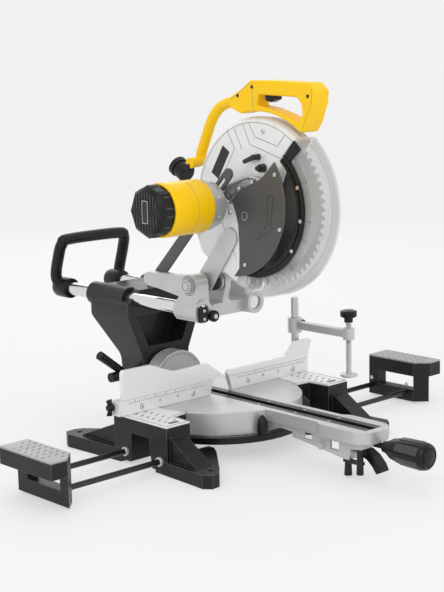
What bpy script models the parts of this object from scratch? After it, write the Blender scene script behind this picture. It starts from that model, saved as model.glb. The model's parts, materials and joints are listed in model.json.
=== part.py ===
"""Sliding miter saw with a 305 mm blade, built as separate pieces on their joints' axes.

Frame: metres, +Z up, +X to the operator's right, +Y to the rear. The origin is on the
bench plane, on the turntable's axis. Y = 0 is the fence's face.
"""

import math

import bmesh
import bpy
from mathutils import Matrix, Vector

# Driving dimensions, in metres ------------------------------------------------------------
GAP = 0.0003
BLADE_R = 0.1525
BLADE_T = 0.0024
TABLE_Z = 0.092
TABLE_R = 0.160
ARM_TIP = -0.412
WING_IN, WING_OUT = 0.188, 0.245
WING_FRONT, WING_REAR = -0.115, 0.036
FENCE_T = 0.011
FENCE_Z = 0.120
SUPPORT_IN, SUPPORT_OUT = 0.460, 0.520
SUPPORT_FRONT, SUPPORT_REAR = -0.140, 0.010
ROD_Z, ROD_R = 0.024, 0.0055
ROD_YS = (-0.096, 0.002)
RAIL_X, RAIL_Z, RAIL_R = 0.070, 0.268, 0.014
RAIL_FRONT, RAIL_REAR = -0.026, 0.412
COLUMN_Y = 0.166
HINGE = (-0.005, 0.318)
ARBOR = (-0.129, 0.472)
MODULE = 0.0025
GEAR_TEETH, PINION_TEETH = 41, 12
GEAR_CENTRES = MODULE * (GEAR_TEETH + PINION_TEETH) / 2
MESH_ANGLE = math.radians(4.33)
MOTOR = (ARBOR[0] + GEAR_CENTRES * math.cos(MESH_ANGLE), ARBOR[1] + GEAR_CENTRES * math.sin(MESH_ANGLE))
MOTOR_R = 0.050
NECK_R = 0.0122
LINK_PIVOT = (0.130, 0.3145)
LINK_TOP = (-0.084, 0.533)
UPPER_R = 0.165
LOWER_R = 0.170
HEAD_DROP = 74.0
CLAMP_X, CLAMP_Y = 0.235, 0.0218
CLAMP_REACH = 0.150
SEGMENTS = 24

PARTS = bpy.data.collections.new("sliding_miter_saw")
CUTTERS = bpy.data.collections.new("cutters")
MATERIALS: dict = {}


def clear_scene() -> None:
    """Start from nothing, with the two collections of this model."""
    for old in list(bpy.data.objects):
        bpy.data.objects.remove(old)
    for group in (PARTS, CUTTERS):
        bpy.context.scene.collection.children.link(group)


def finish(name, colour, roughness, metallic=0.0):
    """One Principled material, made once."""
    if name not in MATERIALS:
        material = bpy.data.materials.new(name)
        material.use_nodes = True
        shader = material.node_tree.nodes["Principled BSDF"]
        shader.inputs["Base Color"].default_value = (*colour, 1.0)
        shader.inputs["Roughness"].default_value = roughness
        shader.inputs["Metallic"].default_value = metallic
        MATERIALS[name] = material
    return MATERIALS[name]


BLACK = ("black_casting", (0.02, 0.02, 0.022), 0.5, 0.3)
GREY = ("grey_casting", (0.10, 0.10, 0.11), 0.5, 0.4)
SILVER = ("silver_casting", (0.62, 0.63, 0.65), 0.35, 0.8)
WHITE = ("machined_aluminium", (0.80, 0.81, 0.82), 0.3, 0.9)
STEEL = ("steel", (0.55, 0.56, 0.58), 0.25, 1.0)
PLASTIC = ("black_plastic", (0.015, 0.015, 0.016), 0.45)
YELLOW = ("yellow_plastic", (0.95, 0.62, 0.0), 0.35)
CLEAR = ("clear_plastic", (0.80, 0.82, 0.84), 0.1)
COPPER = ("winding_copper", (0.55, 0.25, 0.10), 0.35, 0.9)


# Shapes -----------------------------------------------------------------------------------
def new_object(name, mesh):
    """A mesh object waiting in the parts collection."""
    body = bpy.data.objects.new(name, mesh)
    PARTS.objects.link(body)
    return body


def frozen(body):
    """The object as a plain welded mesh, with its modifiers and curve settings used up."""
    bpy.context.view_layer.update()
    graph = bpy.context.evaluated_depsgraph_get()
    mesh = bpy.data.meshes.new_from_object(body.evaluated_get(graph))
    mesh.transform(body.matrix_world)
    work = bmesh.new()
    work.from_mesh(mesh)
    bmesh.ops.remove_doubles(work, verts=work.verts, dist=1e-6)
    bmesh.ops.recalc_face_normals(work, faces=work.faces)
    work.to_mesh(mesh)
    work.free()
    name = body.name
    bpy.data.objects.remove(body)
    result = new_object(name, mesh)
    result.name = name
    return result


def box(name, low, high):
    """A block between two corners."""
    centre = [(a + b) / 2 for a, b in zip(low, high)]
    size = [b - a for a, b in zip(low, high)]
    bpy.ops.mesh.primitive_cube_add(size=1, location=centre)
    return adopt(name, size)


def adopt(name, scale=(1, 1, 1), turn=None):
    """Take the primitive just added into the parts collection, with its scale applied."""
    body = bpy.context.object
    body.name = name
    for group in body.users_collection:
        group.objects.unlink(body)
    PARTS.objects.link(body)
    matrix = Matrix.Translation(body.location)
    if turn is not None:
        matrix = matrix @ turn.to_4x4()
    matrix = matrix @ Matrix.Diagonal((*scale, 1))
    body.data.transform(matrix)
    body.location = (0, 0, 0)
    return body


def facing(axis):
    """The rotation that turns +Z to an axis."""
    return Vector((0, 0, 1)).rotation_difference(Vector(axis)).to_matrix()


def rod(name, start, end, radius, end_radius=None, segments=SEGMENTS):
    """A cylinder, or a cone, from one point to another."""
    start, end = Vector(start), Vector(end)
    bpy.ops.mesh.primitive_cone_add(
        vertices=segments,
        radius1=radius,
        radius2=radius if end_radius is None else end_radius,
        depth=(end - start).length,
        location=(start + end) / 2,
    )
    return adopt(name, turn=facing(end - start))


def turned(name, profile, centre, axis, segments=SEGMENTS):
    """A profile of (radius, height) pairs, turned about an axis through a point.

    The profile runs down its outer side, and back up the inner side of a ring.
    """
    mesh = bpy.data.meshes.new(name)
    ring = profile[-1][0] > 1e-7 and profile[0][0] > 1e-7
    count = len(profile)
    edges = [(i, i + 1) for i in range(count - 1)] + ([(count - 1, 0)] if ring else [])
    mesh.from_pydata([(r, 0, z) for r, z in profile], edges, [])
    body = new_object(name, mesh)
    screw = body.modifiers.new("turn", "SCREW")
    screw.steps = screw.render_steps = segments
    screw.use_merge_vertices = True
    screw.merge_threshold = 0.00001
    body.matrix_world = Matrix.Translation(centre) @ facing(axis).to_4x4()
    return frozen(body)


def plate(name, outline, low, high, plane="YZ", holes=()):
    """A flat outline, with holes, as thick as from low to high across its plane."""
    curve = bpy.data.curves.new(name, "CURVE")
    curve.dimensions = "2D"
    curve.fill_mode = "BOTH"
    curve.extrude = (high - low) / 2
    for loop in (outline, *holes):
        spline = curve.splines.new("POLY")
        spline.points.add(len(loop) - 1)
        spline.use_cyclic_u = True
        for point, (u, v) in zip(spline.points, loop):
            point.co = (u, v, 0, 1)
    body = bpy.data.objects.new(name, curve)
    PARTS.objects.link(body)
    middle = (low + high) / 2
    columns = {
        "YZ": ((0, 1, 0), (0, 0, 1), (1, 0, 0), (middle, 0, 0)),
        "XZ": ((1, 0, 0), (0, 0, 1), (0, -1, 0), (0, middle, 0)),
        "XY": ((1, 0, 0), (0, 1, 0), (0, 0, 1), (0, 0, middle)),
    }[plane]
    matrix = Matrix.Identity(4)
    for index, column in enumerate(columns):
        for row in range(3):
            matrix[row][index if index < 3 else 3] = column[row]
    body.matrix_world = matrix
    return frozen(body)


def tube(name, points, radius, sides=2, smooth=False):
    """A round bar along a path."""
    curve = bpy.data.curves.new(name, "CURVE")
    curve.dimensions = "3D"
    curve.bevel_depth = radius
    curve.bevel_resolution = sides
    curve.use_fill_caps = True
    curve.resolution_u = 4
    if smooth:
        spline = curve.splines.new("NURBS")
        spline.use_endpoint_u = True
        spline.order_u = 3
    else:
        spline = curve.splines.new("POLY")
    spline.points.add(len(points) - 1)
    for point, place in zip(spline.points, points):
        point.co = (*place, 1)
    body = bpy.data.objects.new(name, curve)
    PARTS.objects.link(body)
    return frozen(body)


def combine(body, others, operation):
    """Add or take away other solids, which become guides."""
    for other in others:
        for group in other.users_collection:
            group.objects.unlink(other)
        CUTTERS.objects.link(other)
        other.hide_render = True
        other.display_type = "WIRE"
        step = body.modifiers.new(operation.lower(), "BOOLEAN")
        step.operation = operation
        step.object = other
        step.solver = "EXACT"
    return body


def join(body, *others):
    """One solid of several."""
    return combine(body, others, "UNION")


def cut(body, *others):
    """A solid less others."""
    return combine(body, others, "DIFFERENCE")


def dress(body, look, pivot=None):
    """Give a piece its material, its smooth shading and the empty that it turns about."""
    body.data.materials.clear()
    body.data.materials.append(finish(*look))
    body.data.shade_smooth()
    body.data.set_sharp_from_angle(angle=math.radians(35))
    if pivot is not None:
        body.parent = pivot
        body.matrix_parent_inverse = pivot.matrix_world.inverted()
    return body


def pivot(name, place):
    """An empty on a joint's axis."""
    empty = bpy.data.objects.new(name, None)
    empty.empty_display_size = 0.02
    empty.location = place
    PARTS.objects.link(empty)
    bpy.context.view_layer.update()
    return empty


def arc(centre, radius, start, end, steps):
    """Points on an arc, in degrees."""
    angles = [math.radians(start + (end - start) * i / steps) for i in range(steps + 1)]
    return [(centre[0] + radius * math.cos(a), centre[1] + radius * math.sin(a)) for a in angles]


def lean(centre, radius, angle):
    """The point at a radius from a centre, its angle taken from the front towards the top."""
    a = math.radians(angle)
    return (centre[0] - radius * math.cos(a), centre[1] + radius * math.sin(a))


def front_arc(centre, radius, start, end, steps):
    """Points on an arc whose angles run from the front towards the top."""
    return [lean(centre, radius, start + (end - start) * i / steps) for i in range(steps + 1)]


def sided(points, side):
    """An outline mirrored to the right when side is 1, as given on the left when it is -1."""
    return [(-side * x, y) for x, y in points]


def gear_outline(centre, teeth, module, start):
    """A straight-flanked tooth outline with one tooth at the start angle, thin enough to run free."""
    pitch = module * teeth / 2
    points = []
    for tooth in range(teeth):
        middle = start + 2 * math.pi * tooth / teeth
        half = math.pi / teeth
        for share, radius in (
            (-0.66, pitch - 1.2 * module), (-0.16, pitch + 0.7 * module),
            (0.16, pitch + 0.7 * module), (0.66, pitch - 1.2 * module),
        ):
            a = middle + share * half
            points.append((centre[0] + radius * math.cos(a), centre[1] + radius * math.sin(a)))
    return points


# Base, wings and fences -------------------------------------------------------------------
def wing_outline():
    """The left wing's outline from above."""
    return [
        (-WING_OUT, WING_FRONT), (-WING_IN, WING_FRONT), (-WING_IN + 0.004, -0.066),
        (-0.140, -0.060), (-0.140, WING_REAR), (-WING_OUT, WING_REAR),
    ]


def base_side(side):
    """A pedestal with its arch, feet, sloping webs and rod bores."""
    tag = "right" if side > 0 else "left"
    body = plate(f"{tag}_pedestal", sided(wing_outline(), side), 0.006, TABLE_Z - 0.004, "XY")
    front_foot = [
        (-0.244, -0.080), (-0.250, -0.190), (-0.252, -0.216), (-0.240, -0.230), (-0.222, -0.228),
        (-0.200, -0.205), (-0.135, -0.128), (-0.110, -0.090),
    ]
    rear_foot = [
        (-0.110, 0.080), (-0.155, 0.120), (-0.205, 0.184), (-0.222, 0.192), (-0.244, 0.190),
        (-0.254, 0.172), (-0.245, 0.020), (-0.190, 0.010),
    ]
    xs = sorted((side * 0.238, side * 0.200))
    tie = sorted((side * 0.200, side * 0.120))
    front_web = [(-0.100, 0.004), (-0.100, 0.070), (-0.1165, 0.070), (-0.190, 0.024), (-0.190, 0.004)]
    rear_web = [(0.020, 0.004), (0.020, 0.070), (0.0375, 0.070), (0.150, 0.025), (0.150, 0.004)]
    parts = [
        plate("front_foot", sided(front_foot, side), 0.0, 0.025, "XY"),
        plate("rear_foot", sided(rear_foot, side), 0.0, 0.026, "XY"),
        plate("front_web", front_web, *xs),
        plate("rear_web", rear_web, *xs),
        box("tie", (tie[0], -0.060, 0.032), (tie[1], WING_REAR, 0.045)),
    ]
    join(body, *parts)
    arch = [(-0.074, -0.01), (-0.064, 0.062), (-0.014, 0.062), (-0.009, -0.01)]
    cutters = [
        plate("arch", arch, *sorted((side * 0.300, side * 0.150))),
        rod("front_foot_hole", (side * 0.222, -0.205, -0.01), (side * 0.222, -0.205, 0.04), 0.0055),
        rod("rear_foot_hole", (side * 0.228, 0.168, -0.01), (side * 0.228, 0.168, 0.04), 0.0055),
    ]
    for y in ROD_YS:
        cutters.append(rod("rod_bore", (side * 0.30, y, ROD_Z), (side * 0.05, y, ROD_Z), ROD_R + 0.001))
    return body, cutters


def build_base():
    """The base frame, its wings, the miter scale, the pivot bolt and the fixed fences."""
    dish = rod("base_frame", (0, 0, 0.032), (0, 0, 0.045), 0.166, segments=44)
    hub = rod("hub", (0, 0, 0), (0, 0, 0.040), 0.050)
    left, left_cuts = base_side(-1)
    right, right_cuts = base_side(1)
    join(dish, hub, frozen(left), frozen(right))
    room = rod("table_room", (0, 0, 0.0455), (0, 0, 0.12), TABLE_R + 0.003, segments=44)
    cut(dish, room, rod("bolt_bore", (0, 0, 0.012), (0, 0, 0.06), 0.0105), *left_cuts, *right_cuts)
    dress(dish, BLACK)
    for side, tag in ((-1, "left"), (1, "right")):
        wing = plate(f"{tag}_table_wing", sided(wing_outline(), side), TABLE_Z - 0.0037, TABLE_Z, "XY")
        cut(wing, rod("wing_room", (0, 0, 0.08), (0, 0, 0.10), TABLE_R + 0.003, segments=44))
        dress(wing, WHITE)
    scale = arc((0, 0), 0.1745, 205, 335, 24) + arc((0, 0), 0.152, 335, 205, 24)
    dress(plate("miter_scale", scale, 0.0453, 0.0475, "XY"), PLASTIC)
    bolt = [(0, 0.058), (0.010, 0.058), (0.010, 0.0123), (0, 0.0123)]
    dress(turned("pivot_bolt", bolt, (0, 0, 0), (0, 0, 1)), STEEL)


def build_fences():
    """The fixed fences, the fences that slide on them, and their wing knobs."""
    left_fixed = [(-0.250, TABLE_Z + GAP), (-0.030, TABLE_Z + GAP), (-0.020, FENCE_Z), (-0.250, FENCE_Z)]
    left_slide = [
        (-0.250, FENCE_Z + GAP), (-0.022, FENCE_Z + GAP), (0.002, 0.130), (-0.034, 0.156),
        (-0.124, 0.156), (-0.181, 0.178), (-0.246, 0.178), (-0.250, 0.174),
    ]
    right_fixed = [(0.030, TABLE_Z + GAP), (0.250, TABLE_Z + GAP), (0.250, FENCE_Z), (0.021, FENCE_Z)]
    right_slide = [
        (0.021, FENCE_Z + GAP), (0.250, FENCE_Z + GAP), (0.263, 0.155), (0.258, 0.161),
        (0.215, 0.161), (0.186, 0.134), (0.026, 0.134), (0.018, 0.128),
    ]
    fixed = plate("left_fixed_fence", left_fixed, GAP, FENCE_T, "XZ")
    join(fixed, box("end_block", (-0.259, 0.001, TABLE_Z + GAP), (-0.236, 0.031, FENCE_Z - 0.002)))
    cut(fixed, rod("knob_bore", (-0.27, 0.021, 0.108), (-0.240, 0.021, 0.108), 0.0045))
    dress(fixed, WHITE)
    fixed = plate("right_fixed_fence", right_fixed, GAP, FENCE_T, "XZ")
    join(fixed, box("end_block", (0.172, 0.001, TABLE_Z + GAP), (0.198, 0.026, FENCE_Z - 0.002)))
    cut(fixed, rod("knob_bore", (0.185, 0.012, 0.108), (0.185, 0.03, 0.108), 0.0045))
    dress(fixed, WHITE)
    slide = pivot("left_fence_slide", (-0.13, 0.005, FENCE_Z))
    dress(plate("left_sliding_fence", left_slide, 0.001, 0.0095, "XZ"), WHITE, slide)
    slide = pivot("right_fence_slide", (0.13, 0.005, FENCE_Z))
    dress(plate("right_sliding_fence", right_slide, 0.001, 0.0095, "XZ"), WHITE, slide)
    wing_knob("left_fence_knob", (-0.2593, 0.021, 0.108), (-1, 0, 0), (0, 0, 1))
    wing_knob("right_fence_knob", (0.185, 0.0263, 0.108), (0, 1, 0), (0, 0, 1))


def wing_knob(name, face, axis, wing, reach=0.013):
    """A small knob with two wings and a stub of thread that runs back into its bore."""
    face, axis, wing = Vector(face), Vector(axis), Vector(wing)
    turn = pivot(f"{name}_axis", face)
    body = rod(name, face - axis * 0.012, face + axis * 0.001, 0.0040, segments=12)
    hub = rod("hub", face + axis * 0.0003, face + axis * 0.010, 0.0065, 0.0052, segments=14)
    ears = [
        rod("ear", face + axis * 0.006, face + axis * 0.013 + wing * reach * sign, 0.0040, 0.0030, segments=16)
        for sign in (-1, 1)
    ]
    join(body, hub, *ears)
    return dress(body, PLASTIC, turn)


def build_supports():
    """The two extension supports, each a frame, a top pad and two sliding rods."""
    for side, tag in ((-1, "left"), (1, "right")):
        slide = pivot(f"{tag}_support_slide", (side * SUPPORT_IN, 0, ROD_Z))
        chamfer = 0.026
        top = [
            (-SUPPORT_OUT, SUPPORT_FRONT), (-SUPPORT_IN - chamfer, SUPPORT_FRONT),
            (-SUPPORT_IN, SUPPORT_FRONT + chamfer), (-SUPPORT_IN, SUPPORT_REAR),
            (-SUPPORT_OUT, SUPPORT_REAR),
        ]
        body = plate(f"{tag}_support_frame", sided(top, side), 0.060, TABLE_Z - 0.004, "XY")
        xs = sorted((side * SUPPORT_IN, side * (SUPPORT_IN + 0.024)))
        window = [(-0.114, 0.030), (-0.114, 0.061), (-0.018, 0.061), (-0.018, 0.030)]
        frame = plate(
            "frame",
            [(-0.139, 0.004), (-0.139, 0.070), (SUPPORT_REAR, 0.070), (SUPPORT_REAR, 0.004)],
            *xs,
        )
        cut(frame, plate("window", window, xs[0] - 0.01, xs[1] + 0.01))
        join(body, frozen(frame))
        room = [
            (-SUPPORT_OUT + 0.005, SUPPORT_FRONT + 0.005), (-SUPPORT_IN - 0.030, SUPPORT_FRONT + 0.005),
            (-SUPPORT_IN - 0.030, SUPPORT_REAR - 0.005), (-SUPPORT_OUT + 0.005, SUPPORT_REAR - 0.005),
        ]
        cut(body, plate("room", sided(room, side), 0.05, 0.082, "XY"))
        corner = [
            (-SUPPORT_IN - chamfer, SUPPORT_FRONT - 0.01), (-SUPPORT_IN + 0.01, SUPPORT_FRONT - 0.01),
            (-SUPPORT_IN + 0.01, SUPPORT_FRONT + chamfer + 0.01), (-SUPPORT_IN - 0.0001, SUPPORT_FRONT + chamfer),
            (-SUPPORT_IN - chamfer, SUPPORT_FRONT),
        ]
        cut(body, plate("corner", sided(corner, side), -0.01, 0.08, "XY"))
        for y in ROD_YS:
            cut(body, rod("rod_seat", (side * 0.45, y, ROD_Z), (side * 0.477, y, ROD_Z), ROD_R + 0.0003))
        dress(body, BLACK, slide)
        dress(plate(f"{tag}_support_pad", sided(top, side), TABLE_Z - 0.0037, TABLE_Z, "XY"), SILVER, slide)
        for place, y in zip(("front", "rear"), ROD_YS):
            inner, outer = (side * 0.215, y, ROD_Z), (side * 0.4765, y, ROD_Z)
            dress(rod(f"{tag}_{place}_rod", inner, outer, ROD_R, segments=14), STEEL, slide)


# Turntable --------------------------------------------------------------------------------
def build_turntable():
    """The turntable with its arm and bevel boss, the kerf inserts and the miter controls."""
    turn = pivot("miter_axis", (0, 0, TABLE_Z))
    body = turned(
        "turntable",
        [(0.0, TABLE_Z), (TABLE_R - 0.002, TABLE_Z), (TABLE_R, TABLE_Z - 0.002), (TABLE_R, 0.048),
         (TABLE_R - 0.008, 0.048), (TABLE_R - 0.008, 0.082), (0.032, 0.082), (0.032, 0.048),
         (0.0, 0.048)],
        (0, 0, 0), (0, 0, 1), 48,
    )
    left = [
        (-0.034, -0.120), (-0.034, -0.288), (-0.043, -0.302), (-0.043, -0.378), (-0.040, -0.392),
        (-0.030, -0.404), (-0.016, ARM_TIP),
    ]
    top = left + [(-x, y) for x, y in reversed(left)]
    side_view = [
        (-0.140, 0.080), (-0.158, 0.052), (-0.190, 0.062), (-0.222, 0.060), (-0.222, 0.050), (-0.300, 0.041),
        (-0.345, 0.034), (-0.362, 0.034), (-0.366, 0.055), (-0.392, 0.058), (-0.396, 0.074),
    ]
    boss = [(0.066, TABLE_Z)] + arc((0, TABLE_Z), 0.066, 0, 180, 24)[1:] + [(-0.066, 0.052), (0.066, 0.052)]
    join(
        body,
        plate("arm_top", top, 0.070, TABLE_Z, "XY"),
        plate("arm_box", side_view, -0.030, 0.030),
        rod("cross_bolt", (-0.036, -0.298, 0.048), (0.036, -0.298, 0.048), 0.007, segments=12),
        plate("bevel_boss", boss, 0.126, 0.160, "XZ"),
    )
    cut(
        body,
        box("recess", (-0.022, -0.395, TABLE_Z - 0.0063), (0.022, 0.120, TABLE_Z + 0.01)),
        box("kerf", (-0.0085, -0.390, TABLE_Z - 0.016), (0.0085, 0.115, TABLE_Z)),
        box("rear_window", (-0.05, -0.272, 0.052), (0.05, -0.250, 0.065)),
        box("front_window", (-0.05, -0.338, 0.046), (0.05, -0.316, 0.062)),
        box("belly", (-0.024, -0.340, 0.020), (0.024, -0.180, 0.068)),
        rod("pivot_bore", (0, 0.110, TABLE_Z), (0, 0.170, TABLE_Z), 0.0125, segments=12),
        rod("bolt_bore", (0, 0, 0.040), (0, 0, 0.060), 0.0105),
    )
    dress(body, SILVER, turn)
    for side, tag in ((-1, "left"), (1, "right")):
        xs = sorted((side * 0.0075, side * 0.0215))
        insert = box(f"{tag}_kerf_insert", (xs[0], -0.3945, TABLE_Z - 0.0060), (xs[1], 0.1195, TABLE_Z - 0.0003))
        dress(insert, PLASTIC, turn)
    legs = box("stand_legs", (-0.029, -0.390, 0.0280), (-0.019, -0.347, 0.0335))
    join(
        legs,
        rod("leg", (-0.024, -0.355, 0.004), (-0.024, -0.355, 0.0335), 0.0075, 0.0058, segments=14),
        rod("leg", (-0.024, -0.383, 0.010), (-0.024, -0.383, 0.0545), 0.0068, 0.0055, segments=14),
    )
    dress(legs, PLASTIC, turn)
    lever_axis = pivot("detent_lever_axis", (0, -0.376, 0.0475))
    lever = [
        (-0.3675, 0.0525), (-0.384, 0.0525), (-0.400, 0.044), (-0.414, 0.030), (-0.420, 0.018),
        (-0.408, 0.012), (-0.398, 0.025), (-0.386, 0.035), (-0.3675, 0.040),
    ]
    dress(plate("detent_lever", lever, -0.010, 0.012), PLASTIC, lever_axis)
    knob_axis = pivot("miter_lock_axis", (0, -0.420, 0.064))
    profile = [
        (0, 0.1240), (0.012, 0.1240), (0.0205, 0.1215), (0.0245, 0.114), (0.0250, 0.094), (0.0225, 0.060),
        (0.0195, 0.044), (0.0115, 0.030), (0.0098, 0.022), (0.0050, 0.0205), (0.0050, 0.0), (0, 0.0),
    ]
    dress(turned("miter_lock_knob", profile, (0, -0.397, 0.064), (0, -1, 0)), GREY, knob_axis)
    return turn


# Column and carriage ----------------------------------------------------------------------
def build_column():
    """The tilting column with its rail barrels, the bevel shaft, the bevel lever and the rail knob."""
    tilt = pivot("bevel_axis", (0, COLUMN_Y, TABLE_Z))
    half = [(0.060, TABLE_Z + 0.012), (0.063, 0.150), (0.098, 0.232), (0.098, 0.262), (0.064, 0.288)]
    outline = half + [(-x, z) for x, z in reversed(half)] + arc((0, TABLE_Z), 0.060, 180, 360, 24)
    body = plate("column", outline, COLUMN_Y, 0.286, "XZ")
    side_view = [
        (COLUMN_Y - 0.01, 0.02), (0.232, 0.02), (0.236, 0.140), (0.285, 0.225), (0.285, 0.300),
        (COLUMN_Y - 0.01, 0.300),
    ]
    combine(body, [plate("side_view", side_view, -0.12, 0.12)], "INTERSECT")
    for sign in (-1, 1):
        join(body, rod("barrel", (sign * RAIL_X, 0.190, RAIL_Z), (sign * RAIL_X, 0.306, RAIL_Z), 0.024))
    pocket = [(0.046, 0.168), (0.078, 0.236), (-0.078, 0.236), (-0.046, 0.168)]
    cut(
        body,
        plate("pocket", pocket, COLUMN_Y - 0.01, 0.216, "XZ"),
        rod("shaft_bore", (0, 0.15, TABLE_Z), (0, 0.25, TABLE_Z), 0.0125, segments=12),
        rod("knob_bore", (0, 0.200, 0.268), (0, 0.200, 0.295), 0.0045, segments=14),
        rod("lever_bore", (-0.075, 0.196, 0.112), (-0.045, 0.196, 0.112), 0.0055, segments=14),
    )
    for sign in (-1, 1):
        cut(body, rod("rail_bore", (sign * RAIL_X, 0.15, RAIL_Z), (sign * RAIL_X, 0.32, RAIL_Z), RAIL_R + 0.0008))
    dress(body, GREY, tilt)
    shaft = [(0, 0.0), (0.018, 0.0), (0.018, -0.010), (0.012, -0.010), (0.012, -0.112), (0, -0.112)]
    dress(turned("bevel_pivot_shaft", shaft, (0, 0.2465, TABLE_Z), (0, 1, 0), 20), STEEL)
    lever_axis = pivot("bevel_lever_axis", (-0.0603, 0.196, 0.112))
    lever = rod("bevel_lock_lever", (-0.050, 0.196, 0.112), (-0.0660, 0.196, 0.112), 0.0045, segments=14)
    join(
        lever,
        rod("hub", (-0.0640, 0.196, 0.112), (-0.124, 0.196, 0.112), 0.0110, 0.0100, segments=16),
        rod("arm", (-0.088, 0.196, 0.116), (-0.150, 0.196, 0.163), 0.0078, 0.0092, segments=14),
    )
    dress(lever, PLASTIC, lever_axis)
    wing_knob("rail_lock_knob", (0, 0.200, 0.2883), (0, 0, 1), (1, 0, 0), 0.016)
    return tilt


def build_carriage():
    """What slides on the column: bracket, rails, rear handle, stop block, hinge pin and lock pin."""
    slide = pivot("carriage_slide", (0, 0, RAIL_Z))
    y, z = HINGE
    body = box("carriage", (-0.085, -0.028, 0.250), (0.085, 0.034, 0.276))
    cheek = [(-0.027, 0.268)] + front_arc(HINGE, 0.0215, 0, 180, 16) + [(0.034, 0.268)]
    arm = [
        (0.006, 0.282), (0.034, 0.290), (0.100, 0.300), (0.128, 0.302), (0.142, 0.308), (0.144, 0.322),
        (0.132, 0.330), (0.110, 0.330), (0.010, 0.334),
    ]
    end = [(0, 0.0935), (0.0125, 0.0935), (0.013, 0.093), (0.013, 0.084), (0, 0.084)]
    join(
        body,
        *[rod("clamp", (s * RAIL_X, -0.030, RAIL_Z), (s * RAIL_X, 0.034, RAIL_Z), 0.0225) for s in (-1, 1)],
        plate("left_cheek", cheek, -0.085, -0.0530),
        plate("middle_ear", cheek, -0.0080, 0.0060),
        plate("right_ear", cheek, 0.0500, 0.0650),
        plate("link_arm_rest", arm, -0.0720, -0.0530),
        turned("cheek_end", end, (0, y, z), (-1, 0, 0), 20),
        rod("link_pin", (-0.0560, *LINK_PIVOT), (-0.0450, *LINK_PIVOT), 0.0050, segments=14),
    )
    down = math.radians(HEAD_DROP)
    dy, dz = ARBOR[0] - y, ARBOR[1] - z
    low = (y + dy * math.cos(down) - dz * math.sin(down), z + dz * math.cos(down) + dy * math.sin(down))
    cut(
        body,
        rod("guard_room", (-0.036, *low), (0.0495, *low), LOWER_R + 0.0045, segments=60),
        rod("pin_bore", (-0.020, y, z), (0.080, y, z), 0.0081, segments=12),
        *[rod("rail_bore", (s * RAIL_X, -0.05, RAIL_Z), (s * RAIL_X, 0.05, RAIL_Z), RAIL_R + 0.0003)
          for s in (-1, 1)],
        rod("lock_bore", (-0.052, -0.040, 0.2585), (-0.052, -0.010, 0.2585), 0.0045, segments=14),
    )
    dress(body, SILVER, slide)
    for sign, tag in ((-1, "left"), (1, "right")):
        rail = rod(f"{tag}_rail", (sign * RAIL_X, RAIL_FRONT, RAIL_Z), (sign * RAIL_X, RAIL_REAR, RAIL_Z), RAIL_R)
        dress(rail, STEEL, slide)
    path = [(-0.070, 0.400, 0.262), (-0.086, 0.418, 0.288), (-0.088, 0.404, 0.340), (-0.084, 0.396, 0.364),
            (-0.066, 0.395, 0.373)]
    path += [(-a, b, c) for a, b, c in reversed(path)]
    grip = tube("rear_handle", path, 0.0125, 3)
    join(
        grip,
        *[rod("socket", (s * RAIL_X, 0.386, RAIL_Z), (s * RAIL_X, 0.430, RAIL_Z), 0.0215) for s in (-1, 1)],
        box("tie", (-0.070, 0.392, 0.258), (0.070, 0.414, 0.278)),
    )
    for s in (-1, 1):
        cut(grip, rod("seat", (s * RAIL_X, 0.37, RAIL_Z), (s * RAIL_X, 0.4125, RAIL_Z), RAIL_R + 0.0003))
    dress(grip, PLASTIC, slide)
    block = box("stop_block", (-0.0860, -0.0370, 0.2490), (-0.0650, -0.0303, 0.2780))
    dress(block, PLASTIC, slide)
    pin = [(0, 0.0725), (0.0125, 0.0725), (0.0125, 0.0653), (0.0078, 0.0653), (0.0078, -0.0455), (0, -0.0455)]
    dress(turned("hinge_pin", pin, (0, y, z), (1, 0, 0), 20), STEEL, slide)
    lock_axis = pivot("head_lock_axis", (-0.052, -0.0303, 0.2585))
    lock = [
        (0, 0.0150), (0.0050, 0.0150), (0.0100, 0.0140), (0.0115, 0.0120), (0.0115, 0.0040), (0.0095, 0.0003),
        (0.0040, 0.0003), (0.0040, -0.0180), (0, -0.0180),
    ]
    dress(turned("head_lock_pin", lock, (-0.052, -0.0303, 0.2585), (0, -1, 0), 20), PLASTIC, lock_axis)
    return slide


# Head -------------------------------------------------------------------------------------
def hull_outline(first, first_r, second, second_r, steps=12):
    """The outline of a belt round two circles in the YZ plane."""
    a, b = Vector(first), Vector(second)
    between = b - a
    heading = math.degrees(math.atan2(between.y, between.x))
    spread = math.degrees(math.acos((first_r - second_r) / between.length))
    return (
        arc(first, first_r, heading + spread, heading + 360 - spread, steps)
        + arc(second, second_r, heading - spread, heading + spread, steps)
    )


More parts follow.
